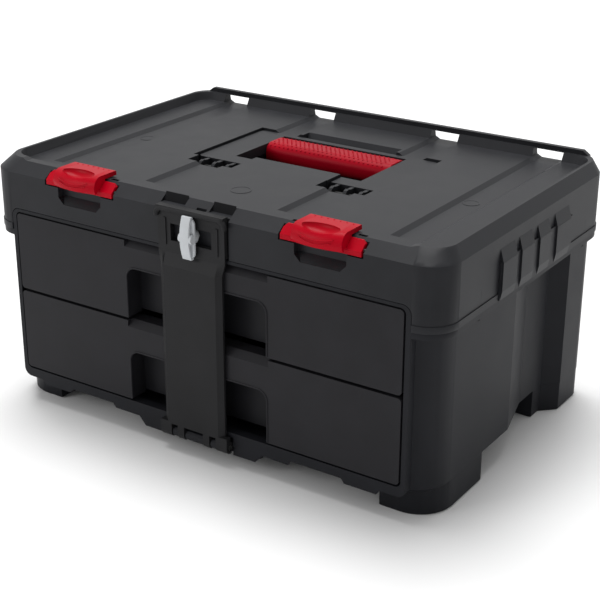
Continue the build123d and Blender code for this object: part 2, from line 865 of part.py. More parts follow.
# Drawers
tub_front = front_back
tub_rear = tub_front + tub_length
cross_front = cross_divider_y - divider_thickness / 2
for level, drawer_low in drawer_lows.items():
    drawer_top = drawer_low + drawer_heights[level]
    slide_z = drawer_low + slide_z_in_front
    pull_top = drawer_low + pull_height
    skin_back = front_face + front_skin
    screw_z = drawer_low + 40.0
    with BuildPart() as drawer_front:
        with BuildSketch(Plane.XZ.offset(-front_face)) as front_outline:
            with Locations((0, (drawer_low + drawer_top) / 2)):
                RectangleRounded(
                    2 * front_half, drawer_top - drawer_low, opening_corner - front_gap
                )
        extrude(front_outline.sketch, amount=front_face - front_back)
        # Pockets behind the skin, and the finger pull with its open arch
        for side in sides.values():
            pocket = mirrored(side, pull_half + pull_lip_wall, front_half - front_skin)
            block(
                *pocket, skin_back, front_back + 1,
                drawer_low + front_skin, drawer_top - front_skin, Mode.SUBTRACT,
            )
        block(
            -pull_half, pull_half, skin_back, front_back + 1,
            pull_top - 2 * pull_corner, drawer_top - scoop_size - 1.5, Mode.SUBTRACT,
        )
        with BuildSketch(Plane.XZ.offset(-front_face + 1)) as arch:
            with Locations((0, drawer_low)):
                RectangleRounded(2 * pull_half, 2 * pull_height, pull_corner)
        extrude(arch.sketch, amount=front_face - front_back - 2, mode=Mode.SUBTRACT)
        along_x(
            (
                (front_face - 1, drawer_top - scoop_size - 1),
                (front_face + scoop_size + 1, drawer_top + 1), (front_face - 1, drawer_top + 1),
            ),
            -scoop_half, scoop_half, Mode.SUBTRACT,
        )
        for screw_x in front_screw_places:
            flat_peg(screw_boss + 1, screw_x, screw_z, skin_back - 1, front_back)
            flat_peg(
                screw_radius + shaft_gap, screw_x, screw_z,
                front_back - front_screw_length, front_back + 1, Mode.SUBTRACT,
            )
    drawer_front.part.label = f"drawer_front_{level}"
    drawer_front.part.move(over_origin)
    export_step(drawer_front.part, f"parts/drawer_front_{level}.step")

    tub_low = drawer_low + tub_floor_gap
    tub_floor = tub_low + tub_wall
    tub_top = tub_low + tub_height
    with BuildPart() as drawer_tub:
        with BuildSketch(Plane.XY.offset(tub_low)):
            with Locations((0, (tub_front + tub_rear) / 2)):
                RectangleRounded(2 * tub_half, tub_length, 4)
        extrude(amount=tub_height)
        with BuildSketch(Plane.XY.offset(tub_floor)):
            with Locations((0, (tub_front + tub_rear) / 2)):
                Rectangle(2 * (tub_half - tub_wall), tub_length - 2 * tub_wall)
        extrude(amount=tub_height, mode=Mode.SUBTRACT)
        # Bosses and holes for the screws of the rails and of the front
        for side in sides.values():
            for screw_y in tub_screw_places:
                boss = mirrored(side, tub_half - tub_wall - 4, tub_half - tub_wall + 0.5)
                flat_rod(tub_boss, *boss, screw_y, slide_z)
                bore = mirrored(side, tub_half - tub_screw_length, tub_half + 1)
                flat_rod(screw_radius + shaft_gap, *bore, screw_y, slide_z, Mode.SUBTRACT)
        for screw_x in front_screw_places:
            flat_peg(
                screw_radius + shaft_gap, screw_x, screw_z,
                tub_front - 1, tub_front + tub_wall + 1, Mode.SUBTRACT,
            )
        # Guide ribs on both sides of each organiser wall
        rib_shift = divider_thickness / 2 + slip_gap + guide_rib / 2
        rib_top = tub_floor + divider_height
        if level == "upper":
            for side in sides.values():
                for shift in (-rib_shift, rib_shift):
                    rib = mirrored(side, tub_half - tub_wall - guide_depth, tub_half - 1)
                    rib_y = cross_divider_y + shift
                    block(
                        *rib, rib_y - guide_rib / 2, rib_y + guide_rib / 2,
                        tub_floor - 0.5, rib_top,
                    )
            for place in upper_divider_places:
                for shift in (-rib_shift, rib_shift):
                    block(
                        place + shift - guide_rib / 2, place + shift + guide_rib / 2,
                        tub_front + 1, tub_front + tub_wall + guide_depth,
                        tub_floor - 0.5, rib_top,
                    )
        else:
            for place in lower_divider_places:
                for shift in (-rib_shift, rib_shift):
                    for rib_start in (tub_front + 1, tub_rear - tub_wall - guide_depth):
                        block(
                            place + shift - guide_rib / 2, place + shift + guide_rib / 2,
                            rib_start, rib_start + tub_wall + guide_depth - 1,
                            tub_floor - 0.5, rib_top,
                        )
    drawer_tub.part.label = f"drawer_tub_{level}"
    drawer_tub.part.move(over_origin)
    export_step(drawer_tub.part, f"parts/drawer_tub_{level}.step")

    with BuildPart() as drawer_screws:
        for side in sides.values():
            for screw_y in tub_screw_places:
                head_in = tub_half + rail_steel
                flat_rod(
                    screw_head, *mirrored(side, head_in, head_in + screw_head_height),
                    screw_y, slide_z,
                )
                flat_rod(
                    screw_radius, *mirrored(side, head_in - tub_screw_length, head_in),
                    screw_y, slide_z,
                )
        head_front = tub_front + tub_wall
        for screw_x in front_screw_places:
            flat_peg(screw_head, screw_x, screw_z, head_front, head_front + screw_head_height)
            flat_peg(screw_radius, screw_x, screw_z, head_front - front_screw_length, head_front)
    drawer_screws.part.label = f"drawer_screws_{level}"
    drawer_screws.part.move(over_origin)
    export_step(drawer_screws.part, f"parts/drawer_screws_{level}.step")

    # Organiser walls
    inside_half = tub_half - tub_wall - slip_gap
    if level == "upper":
        with BuildPart() as divider_long:
            block(
                -inside_half, inside_half, cross_front, cross_front + divider_thickness,
                tub_floor, rib_top,
            )
            for place in upper_divider_places:
                for shift in (-rib_shift, rib_shift):
                    block(
                        place + shift - guide_rib / 2, place + shift + guide_rib / 2,
                        cross_front - guide_depth, cross_front + 0.5, tub_floor, rib_top,
                    )
        divider_long.part.label = "divider_long"
        divider_long.part.move(over_origin)
        export_step(divider_long.part, "parts/divider_long.step")
        for place in upper_divider_places:
            side_name = "left" if place < 0 else "right"
            with BuildPart() as divider_short:
                block(
                    place - divider_thickness / 2, place + divider_thickness / 2,
                    tub_front + tub_wall + slip_gap, cross_front - slip_gap,
                    tub_floor, rib_top,
                )
            divider_short.part.label = f"divider_short_{side_name}"
            divider_short.part.move(over_origin)
            export_step(divider_short.part, f"parts/divider_short_{side_name}.step")
    else:
        for place_name, place in zip(("left", "middle", "right"), lower_divider_places):
            with BuildPart() as divider_deep:
                block(
                    place - divider_thickness / 2, place + divider_thickness / 2,
                    tub_front + tub_wall + slip_gap, tub_rear - tub_wall - slip_gap,
                    tub_floor, rib_top,
                )
            divider_deep.part.label = f"divider_deep_{place_name}"
            divider_deep.part.move(over_origin)
            export_step(divider_deep.part, f"parts/divider_deep_{place_name}.step")

# Lock bar with its window, hinged on three lugs under the sill
with BuildPart() as lock_bar:
    with BuildSketch(Plane.XY.offset(bar_pin_z)) as strip_plan:
        Polygon(
            (-bar_half, bar_back), (-bar_half, bar_face + bar_bevel_depth),
            (bar_bevel - bar_half, bar_face), (bar_half - bar_bevel, bar_face),
            (bar_half, bar_face + bar_bevel_depth), (bar_half, bar_back),
            align=None,
        )
    extrude(strip_plan.sketch, amount=bar_shoulder_low - bar_pin_z)
    along_x(
        (
            (bar_back, bar_shoulder_low), (bar_face, bar_shoulder_low),
            (bar_upper_face, bar_shoulder_top), (bar_back, bar_shoulder_top),
        ),
        bar_bevel - bar_half, bar_half - bar_bevel,
    )
    for side in sides.values():
        with BuildSketch(Plane.XY.offset(bar_shoulder_low)):
            Polygon(
                (side * (bar_half - bar_bevel), bar_back),
                (side * (bar_half - bar_bevel), bar_face),
                (side * bar_half, bar_face + bar_bevel_depth), (side * bar_half, bar_back),
                align=None,
            )
        with BuildSketch(Plane.XY.offset(bar_shoulder_top)):
            Polygon(
                (side * (bar_half - bar_bevel), bar_back),
                (side * (bar_half - bar_bevel), bar_upper_face),
                (side * bar_upper_half, bar_upper_face), (side * bar_upper_half, bar_back),
                align=None,
            )
        loft(ruled=True)
    block(
        -bar_upper_half, bar_upper_half, bar_upper_face, bar_back,
        bar_shoulder_top, bar_step,
    )
    block(
        -bar_upper_half, bar_upper_half, bar_upper_face, bar_upper_back, bar_step, bar_top,
    )
    block(
        -bar_upper_half, bar_upper_half, bar_lip_face, bar_upper_face + 0.5,
        bar_lip_low, bar_top,
    )
    for side in sides.values():
        block(
            *mirrored(side, window_half + 4.5, window_half + 7.0),
            bar_upper_face - 0.9, bar_upper_face + 0.5, lock_z - 12, lock_z + 12,
        )
    # Hinge barrel with windows for the lugs
    block(-bar_base_half, bar_base_half, bar_face, bar_back, bar_pin_z, bar_base_top)
    flat_rod(
        bar_knuckle - 0.1, -bar_base_half, bar_base_half, bar_pin_y, bar_pin_z, flats=barrel_flats
    )
    for lug_start, lug_end in bar_windows:
        block(
            lug_start, lug_end, bar_face - 1, bar_pin_y + 10,
            bar_pin_z - bar_knuckle - 1, bar_base_top - 2, Mode.SUBTRACT,
        )
    flat_rod(bar_pin_radius + shaft_gap, -40, 40, bar_pin_y, bar_pin_z, Mode.SUBTRACT)
    # Hollow back with two stiffening ribs, and the window for the knob
    rib_places = (36.0, 80.0, 126.0, bar_shoulder_low - 6.5)
    for pocket_low, pocket_top in zip(rib_places, rib_places[1:]):
        block(
            bar_skin - bar_half, bar_half - bar_skin, bar_face + bar_skin, bar_back + 1,
            pocket_low, pocket_top - bar_skin, Mode.SUBTRACT,
        )
    block(
        -window_half, window_half, bar_face, bar_upper_back + 1,
        lock_z - window_height / 2, lock_z + window_height / 2, Mode.SUBTRACT,
    )
lock_bar.part.label = "lock_bar"
lock_bar.part.move(over_origin)
export_step(lock_bar.part, "parts/lock_bar.step")

with BuildPart() as bar_hinge_pin:
    round_pin(bar_pin_radius, -bar_base_half + 0.5, bar_base_half - 0.5, bar_pin_y, bar_pin_z)
bar_hinge_pin.part.label = "bar_hinge_pin"
bar_hinge_pin.part.move(over_origin)
export_step(bar_hinge_pin.part, "parts/bar_hinge_pin.step")

# Wing knob: quarter turn behind the bar's window
knob_seat = bar_channel_back - slip_gap
shaft_end = lock_pad_back + slip_gap
with BuildPart() as lock_knob:
    with BuildSketch(Plane.YZ.offset(-wing_width / 2)) as wing:
        Polygon(
            (wing_tip_front, lock_z - wing_half), (wing_front + 0.9, lock_z - 11.5),
            (wing_front, lock_z - 4), (wing_front, lock_z + 4),
            (wing_front + 0.9, lock_z + 11.5), (wing_tip_front, lock_z + wing_half),
            (wing_back, lock_z + wing_half), (wing_back, lock_z - wing_half),
            align=None,
        )
    extrude(wing.sketch, amount=wing_width)
    chamfer(lock_knob.edges().filter_by(Axis.Y), 1.6)
    flat_peg(knob_hub, 0, lock_z, (wing_front + wing_back) / 2, knob_seat, flats=16)
    peg(knob_shaft, 0, lock_z, knob_seat - 1, shaft_end)
    flat_peg(
        knob_screw_radius + shaft_gap, 0, lock_z,
        shaft_end - knob_screw_length, shaft_end + 1, Mode.SUBTRACT,
    )
lock_knob.part.label = "lock_knob"
lock_knob.part.move(over_origin)
export_step(lock_knob.part, "parts/lock_knob.step")

with BuildPart() as knob_washer:
    flat_peg(
        washer_radius, 0, lock_z, shaft_end, shaft_end + washer_thickness, flats=barrel_flats
    )
    flat_peg(
        knob_screw_radius + shaft_gap, 0, lock_z,
        shaft_end - 1, shaft_end + washer_thickness + 1, Mode.SUBTRACT,
    )
knob_washer.part.label = "knob_washer"
knob_washer.part.move(over_origin)
export_step(knob_washer.part, "parts/knob_washer.step")

with BuildPart() as knob_screw:
    head_seat = shaft_end + washer_thickness
    flat_peg(knob_screw_radius, 0, lock_z, head_seat - knob_screw_length, head_seat)
    flat_peg(knob_screw_head, 0, lock_z, head_seat, head_seat + screw_head_height)
knob_screw.part.label = "knob_screw"
knob_screw.part.move(over_origin)
export_step(knob_screw.part, "parts/knob_screw.step")

# Stacking latches and their pins
for side_name, place in zip(sides, latch_places):
    with BuildPart() as latch:
        flat_rod(
            latch_barrel, place - latch_wing_half, place + latch_wing_half,
            latch_axis_y, latch_axis_z, flats=barrel_flats,
        )
        along_y(
            (
                (place - latch_wing_half, latch_axis_z),
                (place - latch_wing_half, latch_wing_top - 3),
                (place - latch_wing_half + 3, latch_wing_top),
                (place + latch_wing_half - 3, latch_wing_top),
                (place + latch_wing_half, latch_wing_top - 3),
                (place + latch_wing_half, latch_axis_z),
            ),
            latch_wing_front, latch_axis_y + latch_barrel,
        )
        along_x(
            (
                (latch_axis_y + latch_barrel, latch_axis_z),
                (latch_axis_y + latch_barrel, latch_under), (latch_rear, latch_under),
                (latch_rear, latch_top - 0.8), (latch_rear - 0.8, latch_top),
                (latch_axis_y - 2.8, latch_top), (latch_axis_y - 7.8, latch_axis_z + 9.6),
                (latch_axis_y - 10.2, latch_axis_z + 5.0),
                (latch_axis_y - 9.8, latch_axis_z + 1.0),
                (latch_axis_y - 8.4, latch_axis_z - 2.0),
                (latch_axis_y - 6.8, latch_axis_z - 2.0),
                (latch_axis_y - 6.2, latch_axis_z + 0.8),
                (latch_wing_front, latch_axis_z),
            ),
            place - latch_half, place + latch_half,
        )
        with BuildSketch(Plane.XY.offset(latch_top - 1.3)):
            with Locations((place, latch_axis_y + 5.7)):
                SlotOverall(33, 12)
        extrude(amount=2, mode=Mode.SUBTRACT)
        for groove_out, groove_rise in ((10.0, 7.0), (10.8, 3.0)):
            groove_y = latch_axis_y - groove_out
            groove_z = latch_axis_z + groove_rise
            block(
                place - latch_half + 4, place + latch_half - 4, groove_y - 1, groove_y + 1,
                groove_z - 0.6, groove_z + 0.6, Mode.SUBTRACT,
            )
        flat_rod(
            latch_pin_radius + shaft_gap, place - latch_wing_half - 1,
            place + latch_wing_half + 1, latch_axis_y, latch_axis_z, Mode.SUBTRACT,
        )
    latch.part.label = f"latch_{side_name}"
    latch.part.move(over_origin)
    export_step(latch.part, f"parts/latch_{side_name}.step")

    with BuildPart() as latch_pin:
        round_pin(
            latch_pin_radius, place - latch_pin_half + slip_gap,
            place + latch_pin_half - slip_gap, latch_axis_y, latch_axis_z,
        )
    latch_pin.part.label = f"latch_pin_{side_name}"
    latch_pin.part.move(over_origin)
    export_step(latch_pin.part, f"parts/latch_pin_{side_name}.step")

# Carry handle: U frame with knuckled hinge, overmoulded grip, two pins
strip_inner = tongue_half + handle_gap
with BuildPart() as handle_frame:
    with BuildSketch(Plane.XY.offset(handle_top - handle_thickness)):
        with Locations((0, (handle_front + handle_rear) / 2)):
            RectangleRounded(2 * handle_half, handle_rear - handle_front, 5)
        with Locations((0, (arm_bridge_y + grip_bar_rear) / 2)):
            Rectangle(2 * arm_inner, grip_bar_rear - arm_bridge_y, mode=Mode.SUBTRACT)
        with Locations((0, handle_front)):
            Rectangle(
                2 * strip_inner, 2 * (arm_bridge_y - handle_front) + 2, mode=Mode.SUBTRACT
            )
    extrude(amount=handle_thickness)
    for side in sides.values():
        block(
            *mirrored(side, arm_inner + wall, handle_half - wall),
            arm_bridge_y + wall, grip_bar_rear - wall,
            handle_top - handle_thickness - 1, handle_top - wall, Mode.SUBTRACT,
        )
        for leaf in handle_leaves:
            leaf_ends = mirrored(
                side, leaf - handle_leaf_width / 2, leaf + handle_leaf_width / 2
            )
            flat_rod(
                handle_leaf, *leaf_ends, handle_pin_y, handle_pin_z, flats=barrel_flats,
            )
            block(
                *leaf_ends, handle_pin_y, handle_front + 1,
                handle_top - handle_thickness, handle_top - 0.5,
            )
            flat_rod(
                handle_pin_radius + shaft_gap, *leaf_ends,
                handle_pin_y, handle_pin_z, Mode.SUBTRACT,
            )
    block(
        -arm_inner - 1, arm_inner + 1, core_front, core_rear,
        handle_top - handle_thickness, handle_top - 1,
    )
handle_frame.part.label = "handle_frame"
handle_frame.part.move(over_origin)
export_step(handle_frame.part, "parts/handle_frame.step")

with BuildPart() as handle_grip:
    grip_half = arm_inner - slip_gap
    with BuildSketch(Plane.YZ.offset(-grip_half)) as grip_section:
        with Locations(((grip_bar_front + grip_bar_rear - slip_gap) / 2, (grip_low + grip_top) / 2)):
            RectangleRounded(
                grip_bar_rear - grip_bar_front - slip_gap, grip_top - grip_low, 9.5
            )
        with Locations(((core_front + core_rear) / 2, handle_top - (handle_thickness + 1) / 2)):
            Rectangle(
                core_rear - core_front + slip_gap, handle_thickness - 1 + slip_gap,
                mode=Mode.SUBTRACT,
            )
    extrude(grip_section.sketch, amount=2 * grip_half)
handle_grip.part.label = "handle_grip"
handle_grip.part.move(over_origin)
export_step(handle_grip.part, "parts/handle_grip.step")

for side_name, side in sides.items():
    with BuildPart() as handle_pin:
        round_pin(
            handle_pin_radius, *mirrored(side, bay_inner - 3.7, bay_outer + 3.7),
            handle_pin_y, handle_pin_z,
        )
    handle_pin.part.label = f"handle_pin_{side_name}"
    handle_pin.part.move(over_origin)
    export_step(handle_pin.part, f"parts/handle_pin_{side_name}.step")
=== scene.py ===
"""Dresses the two-drawer stacking toolbox for its portrait: finishes, rounded edges and small mouldings.

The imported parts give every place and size. Each sub-assembly of the box is a class whose fields are its
sizes in millimetres, and whose methods model its pieces and put its finishes on.
"""
import json
import logging
import math
from collections.abc import Callable, Sequence
from dataclasses import dataclass
from enum import Enum

import bmesh
import bpy
from mathutils import Matrix, Vector

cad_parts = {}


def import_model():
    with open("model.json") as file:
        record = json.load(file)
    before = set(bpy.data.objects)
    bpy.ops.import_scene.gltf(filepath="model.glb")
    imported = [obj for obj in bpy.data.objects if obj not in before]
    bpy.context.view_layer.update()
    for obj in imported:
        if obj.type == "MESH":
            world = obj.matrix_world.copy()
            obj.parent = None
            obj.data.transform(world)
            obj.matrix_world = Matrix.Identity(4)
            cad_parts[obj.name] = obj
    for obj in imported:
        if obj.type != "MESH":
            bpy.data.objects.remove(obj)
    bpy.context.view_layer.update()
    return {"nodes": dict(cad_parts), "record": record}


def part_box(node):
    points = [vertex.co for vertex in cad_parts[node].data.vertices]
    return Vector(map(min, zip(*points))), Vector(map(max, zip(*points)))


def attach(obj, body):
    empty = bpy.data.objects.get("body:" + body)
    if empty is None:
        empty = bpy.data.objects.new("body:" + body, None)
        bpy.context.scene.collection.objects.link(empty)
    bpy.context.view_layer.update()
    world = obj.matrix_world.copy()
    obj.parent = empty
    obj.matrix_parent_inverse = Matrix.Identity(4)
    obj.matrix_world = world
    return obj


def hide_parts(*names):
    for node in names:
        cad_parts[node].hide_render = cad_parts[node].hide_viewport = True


logging.basicConfig(level=logging.INFO, format="%(message)s")
log = logging.getLogger("toolbox")

MM = 0.001
JOIN_DISTANCE = 0.000001
OUTERMOST = 0.99
NODE_ROUNDING = 0.7
BLACKENED_NODES = (
    "cover_screws", "handle_pin_left", "handle_pin_right", "latch_pin_left", "latch_pin_right",
)
CRISP_NODES = ("ball", "rail", "drawer_screws", "cover_screws", "knob_")

Colour = tuple[float, float, float]
Point = tuple[float, float, float]
Pair = tuple[float, float]


class Side(Enum):
    """The two halves of the box, as seen from the front."""

    LEFT = -1
    RIGHT = 1


class Level(Enum):
    """The two drawers."""

    UPPER = "upper"
    LOWER = "lower"


class Element(Enum):
    """What is selected in edit mode."""

    FACES = "FACE"
    EDGES = "EDGE"


def object_noise(tree: bpy.types.NodeTree, scale: float, detail: float) -> bpy.types.NodeSocket:
    """Adds a noise in the piece's own coordinates.

    Args:
        tree: The material's nodes.
        scale: Cells of the noise per metre.
        detail: How many finer layers it has.

    Returns:
        The noise's value.
    """
    place = tree.nodes.new("ShaderNodeTexCoord")
    noise = tree.nodes.new("ShaderNodeTexNoise")
    noise.inputs["Scale"].default_value = scale
    noise.inputs["Detail"].default_value = detail
    tree.links.new(place.outputs["Object"], noise.inputs["Vector"])
    return noise.outputs["Fac"]


def colour_by(
    tree: bpy.types.NodeTree, noise: bpy.types.NodeSocket, dark: Colour, pale: Colour, ends: Pair = (0.0, 1.0)
) -> None:
    """Lets a noise mix the shader's colour.

    Args:
        tree: The material's nodes.
        noise: The noise's value.
        dark: Colour where the noise is low.
        pale: Colour where the noise is high.
        ends: Values of the noise at which the two colours are reached.
    """
    tint = tree.nodes.new("ShaderNodeValToRGB")
    for number, colour in enumerate((dark, pale)):
        tint.color_ramp.elements[number].position = ends[number]
        tint.color_ramp.elements[number].color = (*colour, 1.0)
    tree.links.new(noise, tint.inputs["Fac"])
    tree.links.new(tint.outputs["Color"], tree.nodes["Principled BSDF"].inputs["Base Color"])


def roughness_by(tree: bpy.types.NodeTree, noise: bpy.types.NodeSocket, least: float, most: float) -> None:
    """Lets a noise set the shader's roughness between two values.

    Args:
        tree: The material's nodes.
        noise: The noise's value.
        least: Roughness where the noise is 0.
        most: Roughness where the noise is 1.
    """
    gloss = tree.nodes.new("ShaderNodeMapRange")
    gloss.inputs["To Min"].default_value = least
    gloss.inputs["To Max"].default_value = most
    tree.links.new(noise, gloss.inputs["Value"])
    tree.links.new(gloss.outputs["Result"], tree.nodes["Principled BSDF"].inputs["Roughness"])


@dataclass(frozen=True)
class MouldedPlastic:
    """Injection-moulded plastic with a fine sprayed grain and faint clouding."""

    name: str
    colour: Colour
    roughness: float
    sheen: float = 0.16
    grain: float = 0.35
    grain_scale: float = 2600.0
    grain_detail: float = 3.0
    grain_depth: float = 0.00012
    cloud: float = 0.12
    cloud_scale: float = 34.0
    cloud_detail: float = 5.0
    cloud_ends: Pair = (0.35, 0.68)
    roughness_swing: float = 0.07

    def material(self) -> bpy.types.Material:
        """Builds the node material.

        Returns:
            The material, ready to be put on a piece.
        """
        made = bpy.data.materials.new(self.name)
        made.use_nodes = True
        tree = made.node_tree
        shader = tree.nodes["Principled BSDF"]
        shader.inputs["Specular IOR Level"].default_value = self.sheen
        clouds = object_noise(tree, self.cloud_scale, self.cloud_detail)
        speck = object_noise(tree, self.grain_scale, self.grain_detail)
        dark = tuple(channel * (1.0 - self.cloud) for channel in self.colour)
        pale = tuple(min(1.0, channel * (1.0 + self.cloud)) for channel in self.colour)
        colour_by(tree, clouds, dark, pale, self.cloud_ends)
        dents = tree.nodes.new("ShaderNodeBump")
        dents.inputs["Strength"].default_value = self.grain
        dents.inputs["Distance"].default_value = self.grain_depth
        tree.links.new(speck, dents.inputs["Height"])
        tree.links.new(dents.outputs["Normal"], shader.inputs["Normal"])
        least, most = self.roughness - self.roughness_swing, self.roughness + self.roughness_swing
        roughness_by(tree, clouds, least, most)
        return made


@dataclass(frozen=True)
class PlatedSteel:
    """Plated steel with fine drawing marks."""

    name: str
    colour: Colour
    roughness: float
    marks_scale: float = 700.0
    marks_detail: float = 4.0
    marks_darkness: float = 0.8
    smoother: float = 0.06
    rougher: float = 0.08

    def material(self) -> bpy.types.Material:
        """Builds the node material.

        Returns:
            The material, ready to be put on a piece.
        """
        made = bpy.data.materials.new(self.name)
        made.use_nodes = True
        tree = made.node_tree
        tree.nodes["Principled BSDF"].inputs["Metallic"].default_value = 1.0
        marks = object_noise(tree, self.marks_scale, self.marks_detail)
        dark = tuple(self.marks_darkness * channel for channel in self.colour)
        colour_by(tree, marks, dark, self.colour)
        roughness_by(tree, marks, self.roughness - self.smoother, self.roughness + self.rougher)
        return made


COVER = MouldedPlastic("cover_charcoal", (0.015, 0.0155, 0.018), 0.45, sheen=0.15)
HOUSING = MouldedPlastic("housing_charcoal", (0.010, 0.0105, 0.013), 0.48, sheen=0.13)
FRONTS = MouldedPlastic("drawer_charcoal", (0.014, 0.0137, 0.016), 0.50, sheen=0.15)
TUBS = MouldedPlastic("tub_charcoal", (0.010, 0.010, 0.012), 0.48, grain=0.2)
BAR = MouldedPlastic("bar_charcoal", (0.013, 0.013, 0.014), 0.48, sheen=0.14)
DIVIDERS = MouldedPlastic("divider_charcoal", (0.022, 0.022, 0.025), 0.45, grain=0.2)
RED = MouldedPlastic("signal_red", (0.40, 0.0005, 0.010), 0.32, sheen=0.07, grain=0.12, cloud=0.05)
GRIP_RED = MouldedPlastic("grip_red", (0.34, 0.0005, 0.010), 0.40, sheen=0.07, grain=0.3, cloud=0.08)
KNOB_GREY = MouldedPlastic("pale_grey", (0.50, 0.52, 0.54), 0.42, sheen=0.4, grain=0.2, cloud=0.05)
# Near-black matt coat for the funnel faces: painted shade, standing for the shade deep in the funnels.
FUNNEL_SHADE = MouldedPlastic("painted_funnel_shade", (0.009, 0.009, 0.010), 0.70, sheen=0.06)
STEEL = PlatedSteel("plated_steel", (0.62, 0.62, 0.60), 0.32)
BLACK_STEEL = PlatedSteel("blackened_steel", (0.03, 0.03, 0.03), 0.45)


@dataclass(frozen=True)
class Coats:
    """The materials of the box, made once and put on by the name of the record's slot."""

    by_slot: dict[str, bpy.types.Material]
    grip: bpy.types.Material
    screw: bpy.types.Material
    # The funnel coat is painted shade: a near-black matt coat laid over the funnels' faces.
    funnel: bpy.types.Material

    @classmethod
    def mixed(cls) -> "Coats":
        """Makes every material.

        Returns:
            The materials of the whole box.
        """
        finishes = {
            "housing_plastic": HOUSING,
            "cover_plastic": COVER,
            "drawer_plastic": FRONTS,
            "tub_plastic": TUBS,
            "bar_plastic": BAR,
            "divider_plastic": DIVIDERS,
            "red_plastic": RED,
            "light_grey_plastic": KNOB_GREY,
            "steel": STEEL,
        }
        made = {slot: finish.material() for slot, finish in finishes.items()}
        return cls(made, GRIP_RED.material(), BLACK_STEEL.material(), FUNNEL_SHADE.material())


def paint(piece: bpy.types.Object, coat: bpy.types.Material) -> None:
    """Gives a piece one material and no other."""
    piece.data.materials.clear()
    piece.data.materials.append(coat)


def round_edges(piece: bpy.types.Object, width: float, segments: int = 2, angle: float = 33.0) -> None:
    """Rounds a piece's sharp edges with live modifiers.

    Args:
        piece: The piece.
        width: Width of the rounding in millimetres.
        segments: Faces across the rounding.
        angle: Edges flatter than this many degrees stay as they are.
    """
    weld = piece.modifiers.new("joined", "WELD")
    weld.merge_threshold = 0.00001
    bevel = piece.modifiers.new("rounded", "BEVEL")
    bevel.width = width * MM
    bevel.segments = segments
    bevel.limit_method = "ANGLE"
    bevel.angle_limit = math.radians(angle)
    bevel.miter_outer = "MITER_ARC"
    bevel.harden_normals = True


def deselect() -> None:
    """Leaves nothing selected, so that an operator acts on the new piece alone."""
    bpy.ops.object.select_all(action="DESELECT")


def activate(piece: bpy.types.Object) -> None:
    """Leaves one piece selected and active.

    Args:
        piece: The piece.
    """
    deselect()
    piece.select_set(True)
    bpy.context.view_layer.objects.active = piece


def settled(name: str) -> bpy.types.Object:
    """Names the new primitive and puts its place and size into its mesh.

    Args:
        name: Name of the piece.

    Returns:
        The piece, with its object at the origin.
    """
    bpy.ops.object.transform_apply(location=True, rotation=True, scale=True)
    made = bpy.context.object
    made.name = made.data.name = name
    return made


def block(name: str, low: Sequence[float], high: Sequence[float]) -> bpy.types.Object:
    """Adds a block to be shaped further.

    Args:
        name: Name of the piece.
        low: Lowest corner in millimetres.
        high: Highest corner in millimetres.

    Returns:
        The piece.
    """
    deselect()
    middle = [(a + b) / 2 * MM for a, b in zip(low, high)]
    size = [(b - a) * MM for a, b in zip(low, high)]
    bpy.ops.mesh.primitive_cube_add(size=1.0, location=middle, scale=size)
    return settled(name)


def drum(
    name: str, centre: Point, radius: float, length: float, turn: Point, sides: int = 48
) -> bpy.types.Object:
    """Adds a cylinder to be shaped further.

    Args:
        name: Name of the piece.
        centre: Its middle in millimetres.
        radius: Its radius in millimetres.
        length: Its length in millimetres.
        turn: Turns about X, Y and Z in degrees; without any it stands upright.
        sides: Faces around it.

    Returns:
        The piece.
    """
    deselect()
    bpy.ops.mesh.primitive_cylinder_add(
        vertices=sides, radius=radius * MM, depth=length * MM,
        location=[value * MM for value in centre], rotation=[math.radians(angle) for angle in turn],
    )
    return settled(name)


def ball(name: str, centre: Point, radius: float, subdivisions: int) -> bpy.types.Object:
    """Adds a faceted ball for a small raised dot.

    Args:
        name: Name of the piece.
        centre: Its middle in millimetres.
        radius: Its radius in millimetres.
        subdivisions: How finely it is faceted.

    Returns:
        The piece.
    """
    deselect()
    bpy.ops.mesh.primitive_ico_sphere_add(
        subdivisions=subdivisions, radius=radius * MM, location=[value * MM for value in centre]
    )
    return settled(name)


def every(item: object) -> bool:
    """Passes every face or edge."""
    return True


def choose(piece: bpy.types.Object, element: Element, test: Callable[[object], bool]) -> None:
    """Goes into edit mode with only those faces or edges selected that pass a test.

    Args:
        piece: The piece.
        element: Faces or edges.
        test: Says of a face or an edge whether it is wanted.
    """
    activate(piece)
    bpy.ops.object.mode_set(mode="EDIT")
    bpy.ops.mesh.select_mode(type=element.value)
    bpy.ops.mesh.select_all(action="DESELECT")
    shape = bmesh.from_edit_mesh(piece.data)
    for item in shape.faces if element is Element.FACES else shape.edges:
        if test(item):
            item.select_set(True)
    bmesh.update_edit_mesh(piece.data)


def along(edge: bmesh.types.BMEdge, axis: int) -> bool:
    """Says whether an edge runs along one axis (0, 1 or 2 for X, Y or Z)."""
    run = edge.verts[1].co - edge.verts[0].co
    return abs(run[axis]) > 0.99 * run.length


def soften(piece: bpy.types.Object, width: float, segments: int, test: Callable[[object], bool]) -> None:
    """Rounds chosen edges of a piece.

    Args:
        piece: The piece.
        width: Width of the rounding in millimetres.
        segments: Faces across it.
        test: Says which edges are rounded.
    """
    choose(piece, Element.EDGES, test)
    bpy.ops.mesh.bevel(offset=width * MM, segments=segments, affect="EDGES", clamp_overlap=True)
    bpy.ops.object.mode_set(mode="OBJECT")


def slice_off(piece: bpy.types.Object, point: Point, normal: Point) -> None:
    """Cuts a piece flat and closes it.

    Args:
        piece: The piece.
        point: A point of the cut in millimetres.
        normal: Direction of the side that falls away.
    """
    choose(piece, Element.FACES, every)
    bpy.ops.mesh.bisect(
        plane_co=[value * MM for value in point], plane_no=normal, use_fill=True, clear_outer=True
    )
    bpy.ops.object.mode_set(mode="OBJECT")


